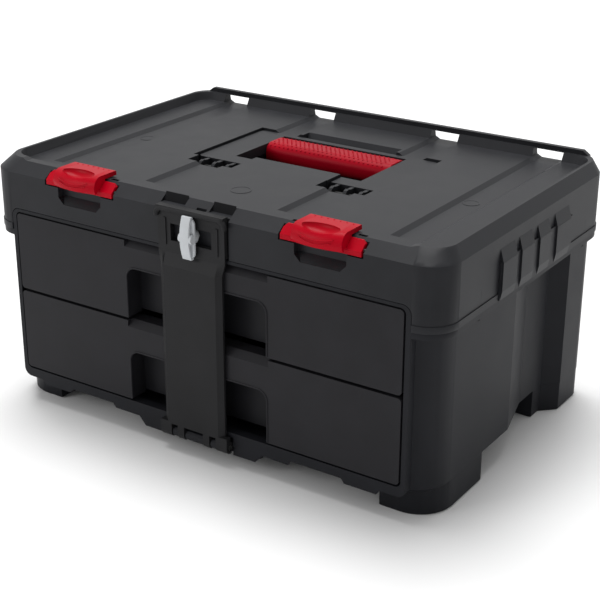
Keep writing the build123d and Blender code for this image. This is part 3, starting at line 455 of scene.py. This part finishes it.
def clean(piece: bpy.types.Object) -> None:
    """Joins a piece's doubled points and turns its faces outwards.

    Args:
        piece: The piece.
    """
    choose(piece, Element.FACES, every)
    bpy.ops.mesh.remove_doubles(threshold=JOIN_DISTANCE)
    bpy.ops.mesh.normals_make_consistent(inside=False)
    bpy.ops.object.mode_set(mode="OBJECT")


def cut_out(piece: bpy.types.Object, cutter: bpy.types.Object) -> None:
    """Takes the shape of another mesh out of a piece, and removes that mesh.

    Args:
        piece: The piece that gets the opening.
        cutter: The mesh that is taken out of it.
    """
    opening = piece.modifiers.new("opening", "BOOLEAN")
    opening.operation = "DIFFERENCE"
    opening.object = cutter
    activate(piece)
    bpy.ops.object.modifier_apply(modifier=opening.name)
    bpy.data.objects.remove(cutter)


def merged(name: str, pieces: list[bpy.types.Object]) -> bpy.types.Object:
    """Joins meshes into one piece.

    Args:
        name: Name of the joined piece.
        pieces: The meshes, which are used up.

    Returns:
        The joined piece.
    """
    deselect()
    for piece in pieces:
        piece.select_set(True)
    bpy.context.view_layer.objects.active = pieces[0]
    if len(pieces) > 1:
        bpy.ops.object.join()
    made = bpy.context.object
    made.name = made.data.name = name
    return made


def repeated(piece: bpy.types.Object, step: Point, count: int) -> None:
    """Repeats a piece in a row within its own mesh.

    Args:
        piece: The piece.
        step: From one to the next in millimetres.
        count: How many there are in the end.
    """
    row = piece.modifiers.new("row", "ARRAY")
    row.use_relative_offset = False
    row.use_constant_offset = True
    row.constant_offset_displace = [value * MM for value in step]
    row.count = count
    activate(piece)
    bpy.ops.object.modifier_apply(modifier=row.name)


def moulded_bead(name: str, route: Sequence[Point], radius: float) -> bpy.types.Object:
    """Makes a round bead along a route.

    Args:
        name: Name of the piece.
        route: Its points in millimetres.
        radius: Its radius in millimetres.

    Returns:
        The piece as a closed mesh.
    """
    line = bpy.data.curves.new(name, "CURVE")
    line.dimensions = "3D"
    line.bevel_depth = radius * MM
    line.bevel_resolution = 3
    line.use_fill_caps = True
    stroke = line.splines.new("POLY")
    stroke.points.add(len(route) - 1)
    for point, place in zip(stroke.points, route):
        point.co = (*(value * MM for value in place), 1.0)
    bead = bpy.data.objects.new(name, line)
    bpy.context.scene.collection.objects.link(bead)
    activate(bead)
    bpy.ops.object.convert(target="MESH")
    return bpy.context.object


def profile_along_x(name: str, outline: Sequence[Pair], start: float, end: float) -> bpy.types.Object:
    """Makes a bar of one section along X.

    Args:
        name: Name of the piece.
        outline: Its section as (y, z) points in millimetres.
        start: X of its left end.
        end: X of its right end.

    Returns:
        The piece as a closed mesh.
    """
    line = bpy.data.curves.new(name, "CURVE")
    line.dimensions = "2D"
    line.fill_mode = "BOTH"
    line.extrude = (end - start) / 2 * MM
    stroke = line.splines.new("POLY")
    stroke.points.add(len(outline) - 1)
    for point, (y, z) in zip(stroke.points, outline):
        point.co = (y * MM, z * MM, 0.0, 1.0)
    stroke.use_cyclic_u = True
    bar = bpy.data.objects.new(name, line)
    bpy.context.scene.collection.objects.link(bar)
    middle = (start + end) / 2 * MM
    bar.matrix_world = Matrix(((0, 0, 1, middle), (1, 0, 0, 0), (0, 1, 0, 0), (0, 0, 0, 1)))
    activate(bar)
    bpy.ops.object.convert(target="MESH")
    bar = settled(name)
    clean(bar)
    return bar


def hand_over(
    piece: bpy.types.Object, body: str, coat: bpy.types.Material, angle: float = 35.0
) -> bpy.types.Object:
    """Cleans, shades and paints a finished piece, and lets it ride on its body.

    Args:
        piece: The piece.
        body: The CAD body that carries it.
        coat: Its material.
        angle: Edges sharper than this many degrees stay crisp.

    Returns:
        The piece.
    """
    clean(piece)
    bpy.ops.object.shade_smooth_by_angle(angle=math.radians(angle))
    paint(piece, coat)
    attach(piece, body)
    log.info("modelled %s on %s", piece.name, body)
    return piece


def node_box(node: str) -> tuple[Vector, Vector]:
    """Gives a CAD node's lowest and highest corners in millimetres."""
    low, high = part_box(node)
    return Vector(low) / MM, Vector(high) / MM


def mirrored_route(right: Sequence[Point]) -> list[Point]:
    """Gives a route's mirror image on the left, in reversed order."""
    return [(-x, y, z) for x, y, z in reversed(right)]


@dataclass
class WingKnob:
    """The pale wing that locks the bar: a bowed blade with hollowed sides, a back plate and a round hub."""

    half: float = 18.9
    width: float = 9.3
    bow: float = 3.6
    depth: float = 6.7
    inset: float = 0.2
    edge: float = 1.2
    blade_sides: int = 220
    hollow: float = 1.4
    hollow_behind: float = 2.2
    hollow_wall: float = 1.3
    hollow_end: float = 2.4
    plate_half: float = 7.0
    plate: float = 1.9
    plate_short: float = 1.2
    plate_corner: float = 5.0
    plate_edge: float = 0.6
    ring_radius: float = 4.2
    ring_length: float = 3.4
    ring_out: float = 0.4
    ring_in: float = 2.6
    ring_edge: float = 0.5
    hub_radius: float = 6.8
    hub_length: float = 6.0
    hub_in: float = 2.3
    hub_edge: float = 1.0
    shaft_radius: float = 4.5
    shaft_length: float = 10.0
    shaft_edge: float = 0.4

    def build(self, coats: Coats) -> None:
        """Models the knob in the place of the plain one.

        Args:
            coats: The materials of the box.
        """
        low, high = node_box("lock_knob")
        front = low.y + self.inset
        middle = (low.z + high.z) / 2
        back = front + self.depth
        blade = self._blade(front, back, middle)
        plate = self._plate(back, middle)
        rings = [self._ring(side, back, middle) for side in Side]
        hub = drum(
            "knob_hub", (0, back + self.hub_in, middle), self.hub_radius, self.hub_length, (90, 0, 0), 44
        )
        soften(hub, self.hub_edge, 3, lambda edge: not along(edge, 1))
        shaft = drum(
            "knob_shaft", (0, high.y - self.shaft_length / 2, middle),
            self.shaft_radius, self.shaft_length, (90, 0, 0), 32,
        )
        soften(shaft, self.shaft_edge, 2, lambda edge: not along(edge, 1))
        knob = merged("wing_knob", [blade, hub, shaft, plate, *rings])
        hand_over(knob, "lock_knob", coats.by_slot["light_grey_plastic"])
        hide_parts("lock_knob")

    def _blade(self, front: float, back: float, middle: float) -> bpy.types.Object:
        """Models the bowed blade and hollows its two sides.

        Args:
            front: Y of the bow's foremost line.
            back: Y of the blade's flat back.
            middle: Z of the knob's axis.

        Returns:
            The blade.
        """
        radius = (self.half**2 + self.bow**2) / (2 * self.bow)
        blade = drum(
            "knob_blade", (0, front + radius, middle), radius, self.width, (0, 90, 0), self.blade_sides
        )
        self._shorten(blade, back, middle, self.half)
        for side in Side:
            hollow = drum(
                "hollow", (side.value * self.width / 2, front + radius + self.hollow_behind, middle),
                radius, 2 * self.hollow, (0, 90, 0), self.blade_sides,
            )
            self._shorten(hollow, back - self.hollow_wall, middle, self.half - self.hollow_end)
            cut_out(blade, hollow)
        flank = self.width / 2 * MM * OUTERMOST
        soften(
            blade, self.edge, 3,
            lambda edge: all(abs(end.co.x) > flank for end in edge.verts)
            and self._on_front(edge, front + radius, middle, radius),
        )
        return blade

    def _plate(self, back: float, middle: float) -> bpy.types.Object:
        """Models the rounded plate behind the blade.

        Args:
            back: Y of the blade's flat back.
            middle: Z of the knob's axis.

        Returns:
            The plate.
        """
        reach = self.half - self.plate_short
        plate = block(
            "knob_plate", (-self.plate_half, back - self.plate, middle - reach),
            (self.plate_half, back, middle + reach),
        )
        soften(plate, self.plate_corner, 6, lambda edge: along(edge, 1))
        front = (back - self.plate / 2) * MM
        soften(plate, self.plate_edge, 2, lambda edge: all(end.co.y < front for end in edge.verts))
        return plate

    def _ring(self, side: Side, back: float, middle: float) -> bpy.types.Object:
        """Models the round boss on one side of the blade.

        Args:
            side: The side of the blade.
            back: Y of the blade's flat back.
            middle: Z of the knob's axis.

        Returns:
            The boss.
        """
        ring = drum(
            "ring", (side.value * (self.width / 2 + self.ring_out), back - self.ring_in, middle),
            self.ring_radius, self.ring_length, (0, 90, 0), 40,
        )
        soften(ring, self.ring_edge, 2, lambda edge: not along(edge, 0))
        return ring

    @staticmethod
    def _shorten(piece: bpy.types.Object, back: float, middle: float, half: float) -> None:
        """Cuts a bowed piece off at its back and at both its ends.

        Args:
            piece: The piece.
            back: Y of its flat back.
            middle: Z of its middle.
            half: Its half length along Z.
        """
        slice_off(piece, (0, back, middle), (0, 1, 0))
        slice_off(piece, (0, back, middle + half), (0, 0, 1))
        slice_off(piece, (0, back, middle - half), (0, 0, -1))

    @staticmethod
    def _on_front(edge: bmesh.types.BMEdge, axis_y: float, axis_z: float, radius: float) -> bool:
        """Says whether both ends of an edge lie on the blade's bowed front."""
        reach = [math.hypot(end.co.y / MM - axis_y, end.co.z / MM - axis_z) for end in edge.verts]
        return all(abs(value - radius) < 0.05 for value in reach)


@dataclass
class LockBar:
    """The hinged bar's thick lip, whose ends droop over its sides."""

    lip_radius: float = 2.5
    lip_half: float = 35.4
    lip_droop: float = 7.0
    lip_out: float = 0.9
    end_out: float = 0.6
    corner: float = 6.0
    corner_steps: int = 6
    face_in: float = 4.4

    def build(self, coats: Coats) -> None:
        """Models the lip.

        Args:
            coats: The materials of the box.
        """
        low, high = node_box("lock_bar")
        face = low.y + self.face_in
        top = high.z - self.lip_radius
        right = []
        for step in range(self.corner_steps + 1):
            angle = math.radians(90 * step / self.corner_steps)
            right.append((
                self.lip_half - self.corner * (1 - math.sin(angle)),
                face - self.lip_out,
                top - self.corner * (1 - math.cos(angle)),
            ))
        right.append((self.lip_half, face - self.end_out, top - self.lip_droop))
        lip = moulded_bead("bar_lip", mirrored_route(right) + right, self.lip_radius)
        hand_over(lip, "lock_bar", coats.by_slot["bar_plastic"])


@dataclass
class DrawerFront:
    """Small mouldings on one drawer front: the bead around its arch and the ribs on its scoop."""

    level: Level
    pull_half: float = 75.0
    pull_height: float = 49.0
    pull_corner: float = 10.0
    corner_steps: int = 8
    bead: float = 0.9
    bead_foot: float = 0.8
    ribs: int = 6
    first_rib: float = 40.0
    rib_step: float = 5.0
    rib_half: float = 0.6
    rib_depths: Pair = (0.4, 5.0)
    rib_drops: Pair = (7.0, 5.4)
    rib_edge: float = 0.3

    def build(self, coats: Coats) -> None:
        """Models the bead and the ribs.

        Args:
            coats: The materials of the box.
        """
        name = self.level.value
        low, high = node_box(f"drawer_front_{name}")
        coat = coats.by_slot["drawer_plastic"]
        hand_over(self._arch_bead(low), f"drawer_{name}", coat)
        hand_over(self._scoop_ribs(low, high), f"drawer_{name}", coat)

    def _arch_bead(self, low: Vector) -> bpy.types.Object:
        """Models the bead around the arch of the finger pull.

        Args:
            low: The drawer front's lowest corner.

        Returns:
            The bead.
        """
        right = [(self.pull_half, low.y, low.z + self.bead_foot)]
        for step in range(self.corner_steps + 1):
            angle = math.radians(90 * step / self.corner_steps)
            right.append((
                self.pull_half - self.pull_corner * (1 - math.cos(angle)),
                low.y,
                low.z + self.pull_height - self.pull_corner * (1 - math.sin(angle)),
            ))
        return moulded_bead(f"arch_bead_{self.level.value}", right + mirrored_route(right), self.bead)

    def _scoop_ribs(self, low: Vector, high: Vector) -> bpy.types.Object:
        """Models the short ribs at both ends of the scoop.

        Args:
            low: The drawer front's lowest corner.
            high: The drawer front's highest corner.

        Returns:
            The ribs of both ends in one piece.
        """
        near, far = self.rib_depths
        deep, shallow = self.rib_drops
        rib = block(
            f"scoop_rib_{self.level.value}", (self.first_rib - self.rib_half, low.y + near, high.z - deep),
            (self.first_rib + self.rib_half, low.y + far, high.z - shallow),
        )
        soften(rib, self.rib_edge, 2, lambda edge: along(edge, 1))
        repeated(rib, (self.rib_step, 0, 0), self.ribs)
        activate(rib)
        bpy.ops.object.duplicate()
        other = bpy.context.object
        for point in other.data.vertices:
            point.co.x *= -1
        return merged(f"scoop_ribs_{self.level.value}", [rib, other])


@dataclass
class StackingLatch:
    """One red latch: a bulged middle with an oval dish and bowed ridges, and a bevelled wing on each side.

    Sections are (y, z) points from the latch's axis. A ridge is given by how far it stands out of the axis,
    how high it lies and its half length.
    """

    side: Side
    half: float = 23.8
    axis_in: float = 10.2
    axis_up: float = 4.6
    rise: float = 12.9
    wing_half: float = 38.0
    wing_cut: float = 2.6
    wing_rise: float = 7.2
    wing_section: tuple[Pair, ...] = (
        (-4.4, -4.4), (-4.4, 0.0), (3.6, 7.2), (4.5, 7.2), (4.5, -3.6), (3.4, -4.4),
    )
    bulge: float = 3.2
    bulge_from: float = 5.0
    bulge_slices: int = 12
    sag: float = 2.2
    sag_at_top: float = 0.35
    lip_low: float = -2.0
    lowest_sag: float = -2.2
    dish: Point = (17.6, 8.2, 6.8)
    dish_in: float = -3.0
    dish_up: float = 0.3
    dish_rings: int = 28
    ridges: tuple[Point, ...] = ((9.8, 7.4, 16.5), (10.4, 4.2, 14.5))
    ridge_bow: float = 2.6
    ridge_radius: float = 0.5
    ridge_steps: int = 12
    dots: int = 7
    dot_step: float = 6.0
    dot_radius: float = 0.8
    dots_in: float = 3.2
    dot_sunk: float = 0.3

    def build(self, coats: Coats) -> None:
        """Models the latch in the place of the plain one, with its ridges and its dots.

        Args:
            coats: The materials of the box.
        """
        name = self.side.name.lower()
        low, high = node_box(f"latch_{name}")
        middle = (low.x + high.x) / 2
        axis_y, axis_z = low.y + self.axis_in, low.z + self.axis_up
        body, coat = f"latch_{name}", coats.by_slot["red_plastic"]
        centre = self._centre(middle, axis_y, axis_z, high.y)
        latch = merged(f"stacking_latch_{name}", [centre, self._wings(middle, axis_y, axis_z)])
        hand_over(latch, body, coat, 30.0)
        round_edges(latch, 0.35, 2, 40.0)
        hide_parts(f"latch_{name}")
        ridges = merged(f"latch_ridges_{name}", self._ridges(middle, axis_y, axis_z))
        hand_over(ridges, body, coat)
        first_dot = middle - self.dot_step * (self.dots - 1) / 2
        dot = ball(
            f"latch_dots_{name}", (first_dot, high.y - self.dots_in, axis_z + self.rise - self.dot_sunk),
            self.dot_radius, 2,
        )
        repeated(dot, (self.dot_step, 0, 0), self.dots)
        hand_over(dot, body, coat)

    def _bulged(self, across: float) -> float:
        """Gives how far the front stands out at a distance from the middle."""
        return self.bulge * max(0.0, 1 - (across / self.half) ** 2)

    def _wings(self, middle: float, axis_y: float, axis_z: float) -> bpy.types.Object:
        """Models both wings in one bar and bevels its ends.

        Args:
            middle: X of the latch's middle.
            axis_y: Y of its axis.
            axis_z: Z of its axis.

        Returns:
            The bar.
        """
        wings = profile_along_x(
            "wings", [(axis_y + y, axis_z + z) for y, z in self.wing_section],
            middle - self.wing_half, middle + self.wing_half,
        )
        cut_z = axis_z + self.wing_rise - self.wing_cut
        for side in Side:
            slice_off(wings, (middle + side.value * self.wing_half, axis_y, cut_z), (side.value, 0.0, 1.0))
        return wings

    def _ridges(self, middle: float, axis_y: float, axis_z: float) -> list[bpy.types.Object]:
        """Models the bowed ridges across the front.

        Args:
            middle: X of the latch's middle.
            axis_y: Y of its axis.
            axis_z: Z of its axis.

        Returns:
            The ridges, each a bead of its own.
        """
        beads = []
        for out, rise, reach in self.ridges:
            route = []
            for step in range(self.ridge_steps + 1):
                part = 2 * step / self.ridge_steps - 1
                route.append((
                    middle + reach * part,
                    axis_y - out - self._bulged(reach * part),
                    axis_z + rise - self.ridge_bow * (1 - part**2),
                ))
            beads.append(moulded_bead("ridge", route, self.ridge_radius))
        return beads

    def _centre(self, middle: float, axis_y: float, axis_z: float, rear: float) -> bpy.types.Object:
        """Models the bulged middle and hollows its dish.

        Args:
            middle: X of the latch's middle.
            axis_y: Y of its axis.
            axis_z: Z of its axis.
            rear: Y of its rear edge.

        Returns:
            The middle piece.
        """
        reach = rear - axis_y
        section = (
            (4.6, 0.0), (4.6, 8.8), (reach, 8.8), (reach, self.rise - 0.9), (reach - 0.9, self.rise),
            (-2.4, self.rise), (-5.6, self.rise - 1.1), (-8.2, 9.4), (-9.8, 6.4), (-10.3, 3.2),
            (-9.8, 0.4), (-8.4, self.lip_low), (-6.8, self.lip_low), (-6.0, 0.0),
        )
        start, end = middle - self.half, middle + self.half
        centre = profile_along_x("latch_centre", [(axis_y + y, axis_z + z) for y, z in section], start, end)
        for step in range(1, self.bulge_slices):
            choose(centre, Element.FACES, every)
            place = start + 2 * self.half * step / self.bulge_slices
            bpy.ops.mesh.bisect(plane_co=(place * MM, 0, 0), plane_no=(1, 0, 0))
            bpy.ops.object.mode_set(mode="OBJECT")
        self._swell(centre, middle, axis_y, axis_z)
        deselect()
        bpy.ops.mesh.primitive_uv_sphere_add(
            segments=2 * self.dish_rings, ring_count=self.dish_rings, radius=1.0,
            location=(middle * MM, (axis_y + self.dish_in) * MM, (axis_z + self.rise + self.dish_up) * MM),
            scale=[value * MM for value in self.dish],
        )
        cut_out(centre, settled("dish"))
        return centre

    def _swell(self, centre: bpy.types.Object, middle: float, axis_y: float, axis_z: float) -> None:
        """Draws the front forward and down towards the middle, but no lower than the flipped latch may go.

        Args:
            centre: The middle piece, cut into slices.
            middle: X of the latch's middle.
            axis_y: Y of its axis.
            axis_z: Z of its axis.
        """
        for point in centre.data.vertices:
            if point.co.y < (axis_y - self.bulge_from) * MM:
                swell = self._bulged(point.co.x / MM - middle) / self.bulge
                drop = (self.rise - (point.co.z / MM - axis_z)) / (self.rise - self.lip_low)
                share = self.sag_at_top + (1 - self.sag_at_top) * drop
                point.co.y -= self.bulge * swell * MM
                sunk = point.co.z - self.sag * swell * share * MM
                point.co.z = max(sunk, min(point.co.z, (axis_z + self.lowest_sag) * MM))


@dataclass
class CarryGrip:
    """The red overmoulded grip with its field of raised dots."""

    rounding: float = 9.4
    end_rounding: float = 4.0
    dot: float = 1.1
    dot_sunk: float = 0.3
    dot_inset: float = 4.0
    dot_step: float = 5.0
    row_step: float = 3.6
    first_row: float = 8.0
    rows: int = 9

    def build(self, coats: Coats) -> None:
        """Models the grip in the place of the plain one, and its dots.

        Args:
            coats: The materials of the box.
        """
        low, high = node_box("handle_grip")
        grip = block("grip_body", low, high)
        soften(grip, self.rounding, 10, lambda edge: along(edge, 0))
        ends = high.x * MM * OUTERMOST
        soften(grip, self.end_rounding, 4, lambda edge: all(abs(end.co.x) > ends for end in edge.verts))
        hand_over(grip, "handle", coats.grip)
        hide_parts("handle_grip")
        rows = [self._row(low, high, number) for number in range(self.rows)]
        hand_over(merged("grip_dots", rows), "handle", coats.grip, 60.0)

    def _row(self, low: Vector, high: Vector, number: int) -> bpy.types.Object:
        """Models one row of dots; every other row is shifted by half a step.

        Args:
            low: The grip's lowest corner.
            high: The grip's highest corner.
            number: The row's number, from the front.

        Returns:
            The row.
        """
        y, z = self._over_the_top(low, high, self.first_row + number * self.row_step)
        inset = self.dot_inset + (self.dot_step / 2 if number % 2 else 0.0)
        dot = ball("dot", (low.x + inset, y, z), self.dot, 1)
        repeated(dot, (self.dot_step, 0, 0), int((high.x - low.x - 2 * inset) / self.dot_step) + 1)
        return dot

    def _over_the_top(self, low: Vector, high: Vector, way: float) -> Pair:
        """Finds a place on the grip's rounded top.

        Args:
            low: The grip's lowest corner.
            high: The grip's highest corner.
            way: Distance from the middle of its front, over the top, in millimetres.

        Returns:
            Y and Z of the place.
        """
        arc = self.rounding * math.pi / 2
        flat = high.y - low.y - 2 * self.rounding
        rise = high.z - self.rounding
        sunk = self.dot * self.dot_sunk
        reach = self.rounding - sunk
        if way < arc:
            angle = way / self.rounding
            return low.y + self.rounding - reach * math.cos(angle), rise + reach * math.sin(angle)
        if way < arc + flat:
            return low.y + self.rounding + way - arc, high.z - sunk
        angle = (way - arc - flat) / self.rounding
        return high.y - self.rounding + reach * math.sin(angle), rise + reach * math.cos(angle)


@dataclass
class LatchSill:
    """The sloping floor of the finger recess under a latch."""

    side: Side
    place: float = 126.3
    half: float = 24.5
    cut: float = 5.9
    front: float = -153.3
    back: float = -146.6
    low: float = 207.1
    height: float = 6.4

    def build(self, coats: Coats) -> None:
        """Models the floor.

        Args:
            coats: The materials of the box.
        """
        middle = self.side.value * self.place
        sill = profile_along_x(
            f"latch_sill_{self.side.name.lower()}",
            ((self.front, self.low), (self.back, self.low), (self.back, self.low + self.height)),
            middle - self.half, middle + self.half,
        )
        for side in Side:
            slice_off(
                sill, (middle + side.value * (self.half - self.cut), self.front, self.low),
                (side.value, 0.0, -1.0),
            )
        hand_over(sill, "housing", coats.by_slot["cover_plastic"])


@dataclass
class RimFunnelShade:
    """Thin near-black matt sheets laid on the faces of the two funnels in the rim above the lock bar: painted
    shade for the shade deep in the funnels.
    """

    spans: tuple[Pair, ...] = ((-36.7, -12.3), (14.3, 36.7))
    foot: Pair = (-144.65, 229.6)
    head: Pair = (-141.4, 236.9)
    thickness: float = 0.4

    def build(self, coats: Coats) -> None:
        """Models the sheets of painted shade.

        Args:
            coats: The materials of the box.
        """
        (foot_y, foot_z), (head_y, head_z) = self.foot, self.head
        section = (
            (foot_y, foot_z), (head_y, head_z),
            (head_y - self.thickness, head_z), (foot_y - self.thickness, foot_z),
        )
        for number, (start, end) in enumerate(self.spans, 1):
            face = profile_along_x(f"funnel_shade_sheet_{number}", section, start, end)
            # Each sheet is painted shade: it darkens the funnel face, where there is only shade.
            hand_over(face, "housing", coats.funnel)


@dataclass
class GripCaps:
    """The raised bands on the bumps of one side grip."""

    side: Side
    bumps: tuple[Pair, ...] = (
        (-58.15, -32.15), (-23.15, 0.85), (11.85, 33.85), (46.85, 75.85),
    )
    inner: float = 239.4
    outer: float = 240.46
    low: float = 199.0
    high: float = 204.6
    gap: float = 0.4
    corner: float = 0.8

    def build(self, coats: Coats) -> None:
        """Models one band on each bump.

        Args:
            coats: The materials of the box.
        """
        bands = []
        for front, rear in self.bumps:
            band = block(
                "band", (self.inner, front + self.gap, self.low), (self.outer, rear - self.gap, self.high)
            )
            soften(band, self.corner, 3, lambda edge: along(edge, 0))
            bands.append(band)
        made = merged(f"grip_caps_{self.side.name.lower()}", bands)
        for point in made.data.vertices:
            point.co.x *= self.side.value
        hand_over(made, "housing", coats.by_slot["cover_plastic"])


@dataclass
class TrayTop:
    """Round moulding marks on the tray, each given by its middle and its radius."""

    marks: tuple[tuple[float, float, float, float], ...] = (
        (-178.0, 3.5, 226.2, 7.4), (0.0, -85.0, 229.0, 9.4), (178.0, 3.5, 226.2, 7.4),
    )
    thickness: float = 0.5
    rim: float = 0.9
    step: float = 0.2

    def build(self, coats: Coats) -> None:
        """Models the marks.

        Args:
            coats: The materials of the box.
        """
        for number, (x, y, z, radius) in enumerate(self.marks, 1):
            mark = drum(f"tray_mark_{number}", (x, y, z), radius, self.thickness, (0, 0, 0))
            choose(mark, Element.FACES, lambda face: face.normal.z > 0.9)
            bpy.ops.mesh.inset(thickness=self.rim * MM, depth=0)
            bpy.ops.mesh.inset(thickness=self.step * MM, depth=-self.step * MM)
            bpy.ops.object.mode_set(mode="OBJECT")
            hand_over(mark, "housing", coats.by_slot["cover_plastic"])


@dataclass(frozen=True)
class Lamp:
    """One square lamp, with its place, target and size in metres and its power in watts."""

    name: str
    place: Point
    target: Point
    size: float
    power: float

    def hang(self) -> None:
        """Adds the lamp to the scene."""
        light = bpy.data.lights.new(self.name, "AREA")
        light.size = self.size
        light.energy = self.power
        lamp = bpy.data.objects.new(self.name, light)
        bpy.context.scene.collection.objects.link(lamp)
        lamp.location = self.place
        aim = Vector(self.target) - Vector(self.place)
        lamp.rotation_euler = aim.to_track_quat("-Z", "Y").to_euler()


@dataclass
class Studio:
    """Floor, lights and camera, in metres and radians."""

    camera_place: Point = (0.67635, -1.00480, 0.59948)
    yaw: float = 0.58111
    pitch: float = 0.39188
    roll: float = 0.00586
    lens: float = 82.617
    sensor: float = 36.0
    shift_x: float = -0.01663
    shift_y: float = -0.00383
    clip: Pair = (0.05, 20.0)
    lamps: tuple[Lamp, ...] = (
        Lamp("sky", (-1.2, 1.4, 7.0), (0.0, 0.0, 0.0), 4.5, 520.0),
        Lamp("front_left", (-1.5, -2.2, 1.2), (0.0, 0.0, 0.1), 1.2, 16.0),
        Lamp("right", (2.4, -0.6, 1.0), (0.0, 0.0, 0.1), 0.9, 0.6),
    )
    surround: float = 0.42
    floor_size: float = 14.0
    floor_grey: float = 0.92
    floor_roughness: float = 0.8

    def build(self) -> None:
        """Adds the camera, the lamps, the floor and the surround."""
        self._camera()
        for lamp in self.lamps:
            lamp.hang()
        self._floor()
        self._surround()
        bpy.context.scene.view_settings.view_transform = "Standard"

    def _camera(self) -> None:
        """Sets the camera up in the place and with the lens that were solved for."""
        cy, sy = math.cos(self.yaw), math.sin(self.yaw)
        cp, sp = math.cos(self.pitch), math.sin(self.pitch)
        ahead = Vector((-sy * cp, cy * cp, -sp))
        right = Vector((cy, sy, 0.0))
        up = right.cross(ahead)
        cr, sr = math.cos(self.roll), math.sin(self.roll)
        right, up = cr * right + sr * up, -sr * right + cr * up
        lens = bpy.data.cameras.new("portrait")
        lens.sensor_width = self.sensor
        lens.lens = self.lens
        lens.shift_x, lens.shift_y = self.shift_x, self.shift_y
        lens.clip_start, lens.clip_end = self.clip
        camera = bpy.data.objects.new("portrait", lens)
        bpy.context.scene.collection.objects.link(camera)
        turn = Matrix((right, up, -ahead)).transposed().to_4x4()
        camera.matrix_world = Matrix.Translation(self.camera_place) @ turn
        bpy.context.scene.camera = camera

    def _surround(self) -> None:
        """Makes the world white to look at and in reflections, and dimmer as a light."""
        world = bpy.data.worlds.new("surround")
        world.use_nodes = True
        tree = world.node_tree
        sky = tree.nodes["Background"]
        sky.inputs["Color"].default_value = (1.0, 1.0, 1.0, 1.0)
        rays = tree.nodes.new("ShaderNodeLightPath")
        direct = rays.outputs["Is Camera Ray"]
        for kind in ("Is Glossy Ray", "Is Transmission Ray"):
            either = tree.nodes.new("ShaderNodeMath")
            either.operation = "MAXIMUM"
            tree.links.new(direct, either.inputs[0])
            tree.links.new(rays.outputs[kind], either.inputs[1])
            direct = either.outputs["Value"]
        level = tree.nodes.new("ShaderNodeMapRange")
        level.inputs["To Min"].default_value = self.surround
        level.inputs["To Max"].default_value = 1.0
        tree.links.new(direct, level.inputs["Value"])
        tree.links.new(level.outputs["Result"], sky.inputs["Strength"])
        bpy.context.scene.world = world

    def _floor(self) -> None:
        """Lays the pale floor that keeps the shadow."""
        deselect()
        bpy.ops.mesh.primitive_plane_add(size=self.floor_size, location=(0.0, 0.0, 0.0))
        floor = bpy.context.object
        floor.name = "floor"
        coat = bpy.data.materials.new("floor_white")
        coat.use_nodes = True
        shader = coat.node_tree.nodes["Principled BSDF"]
        shader.inputs["Base Color"].default_value = (self.floor_grey, self.floor_grey, self.floor_grey, 1.0)
        shader.inputs["Roughness"].default_value = self.floor_roughness
        shader.inputs["Specular IOR Level"].default_value = 0.0
        floor.data.materials.append(coat)


def dress_nodes(frame: dict, coats: Coats) -> None:
    """Paints the CAD nodes and rounds their edges.

    Args:
        frame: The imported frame.
        coats: The materials.
    """
    slot_of = {entry["node"]: entry["material_slot"] for entry in frame["record"]["subparts"]}
    for name, node in frame["nodes"].items():
        paint(node, coats.screw if name in BLACKENED_NODES else coats.by_slot[slot_of[name]])
        if not name.startswith(CRISP_NODES):
            round_edges(node, NODE_ROUNDING)
        log.info("dressed %s", name)


def main() -> None:
    """Builds the sub-assemblies and the studio in order."""
    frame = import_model()
    coats = Coats.mixed()
    dress_nodes(frame, coats)
    WingKnob().build(coats)
    LockBar().build(coats)
    for level in Level:
        DrawerFront(level).build(coats)
    for side in Side:
        StackingLatch(side).build(coats)
        LatchSill(side).build(coats)
        GripCaps(side).build(coats)
    RimFunnelShade().build(coats)
    CarryGrip().build(coats)
    TrayTop().build(coats)
    Studio().build()


if __name__ == "__main__":
    main()
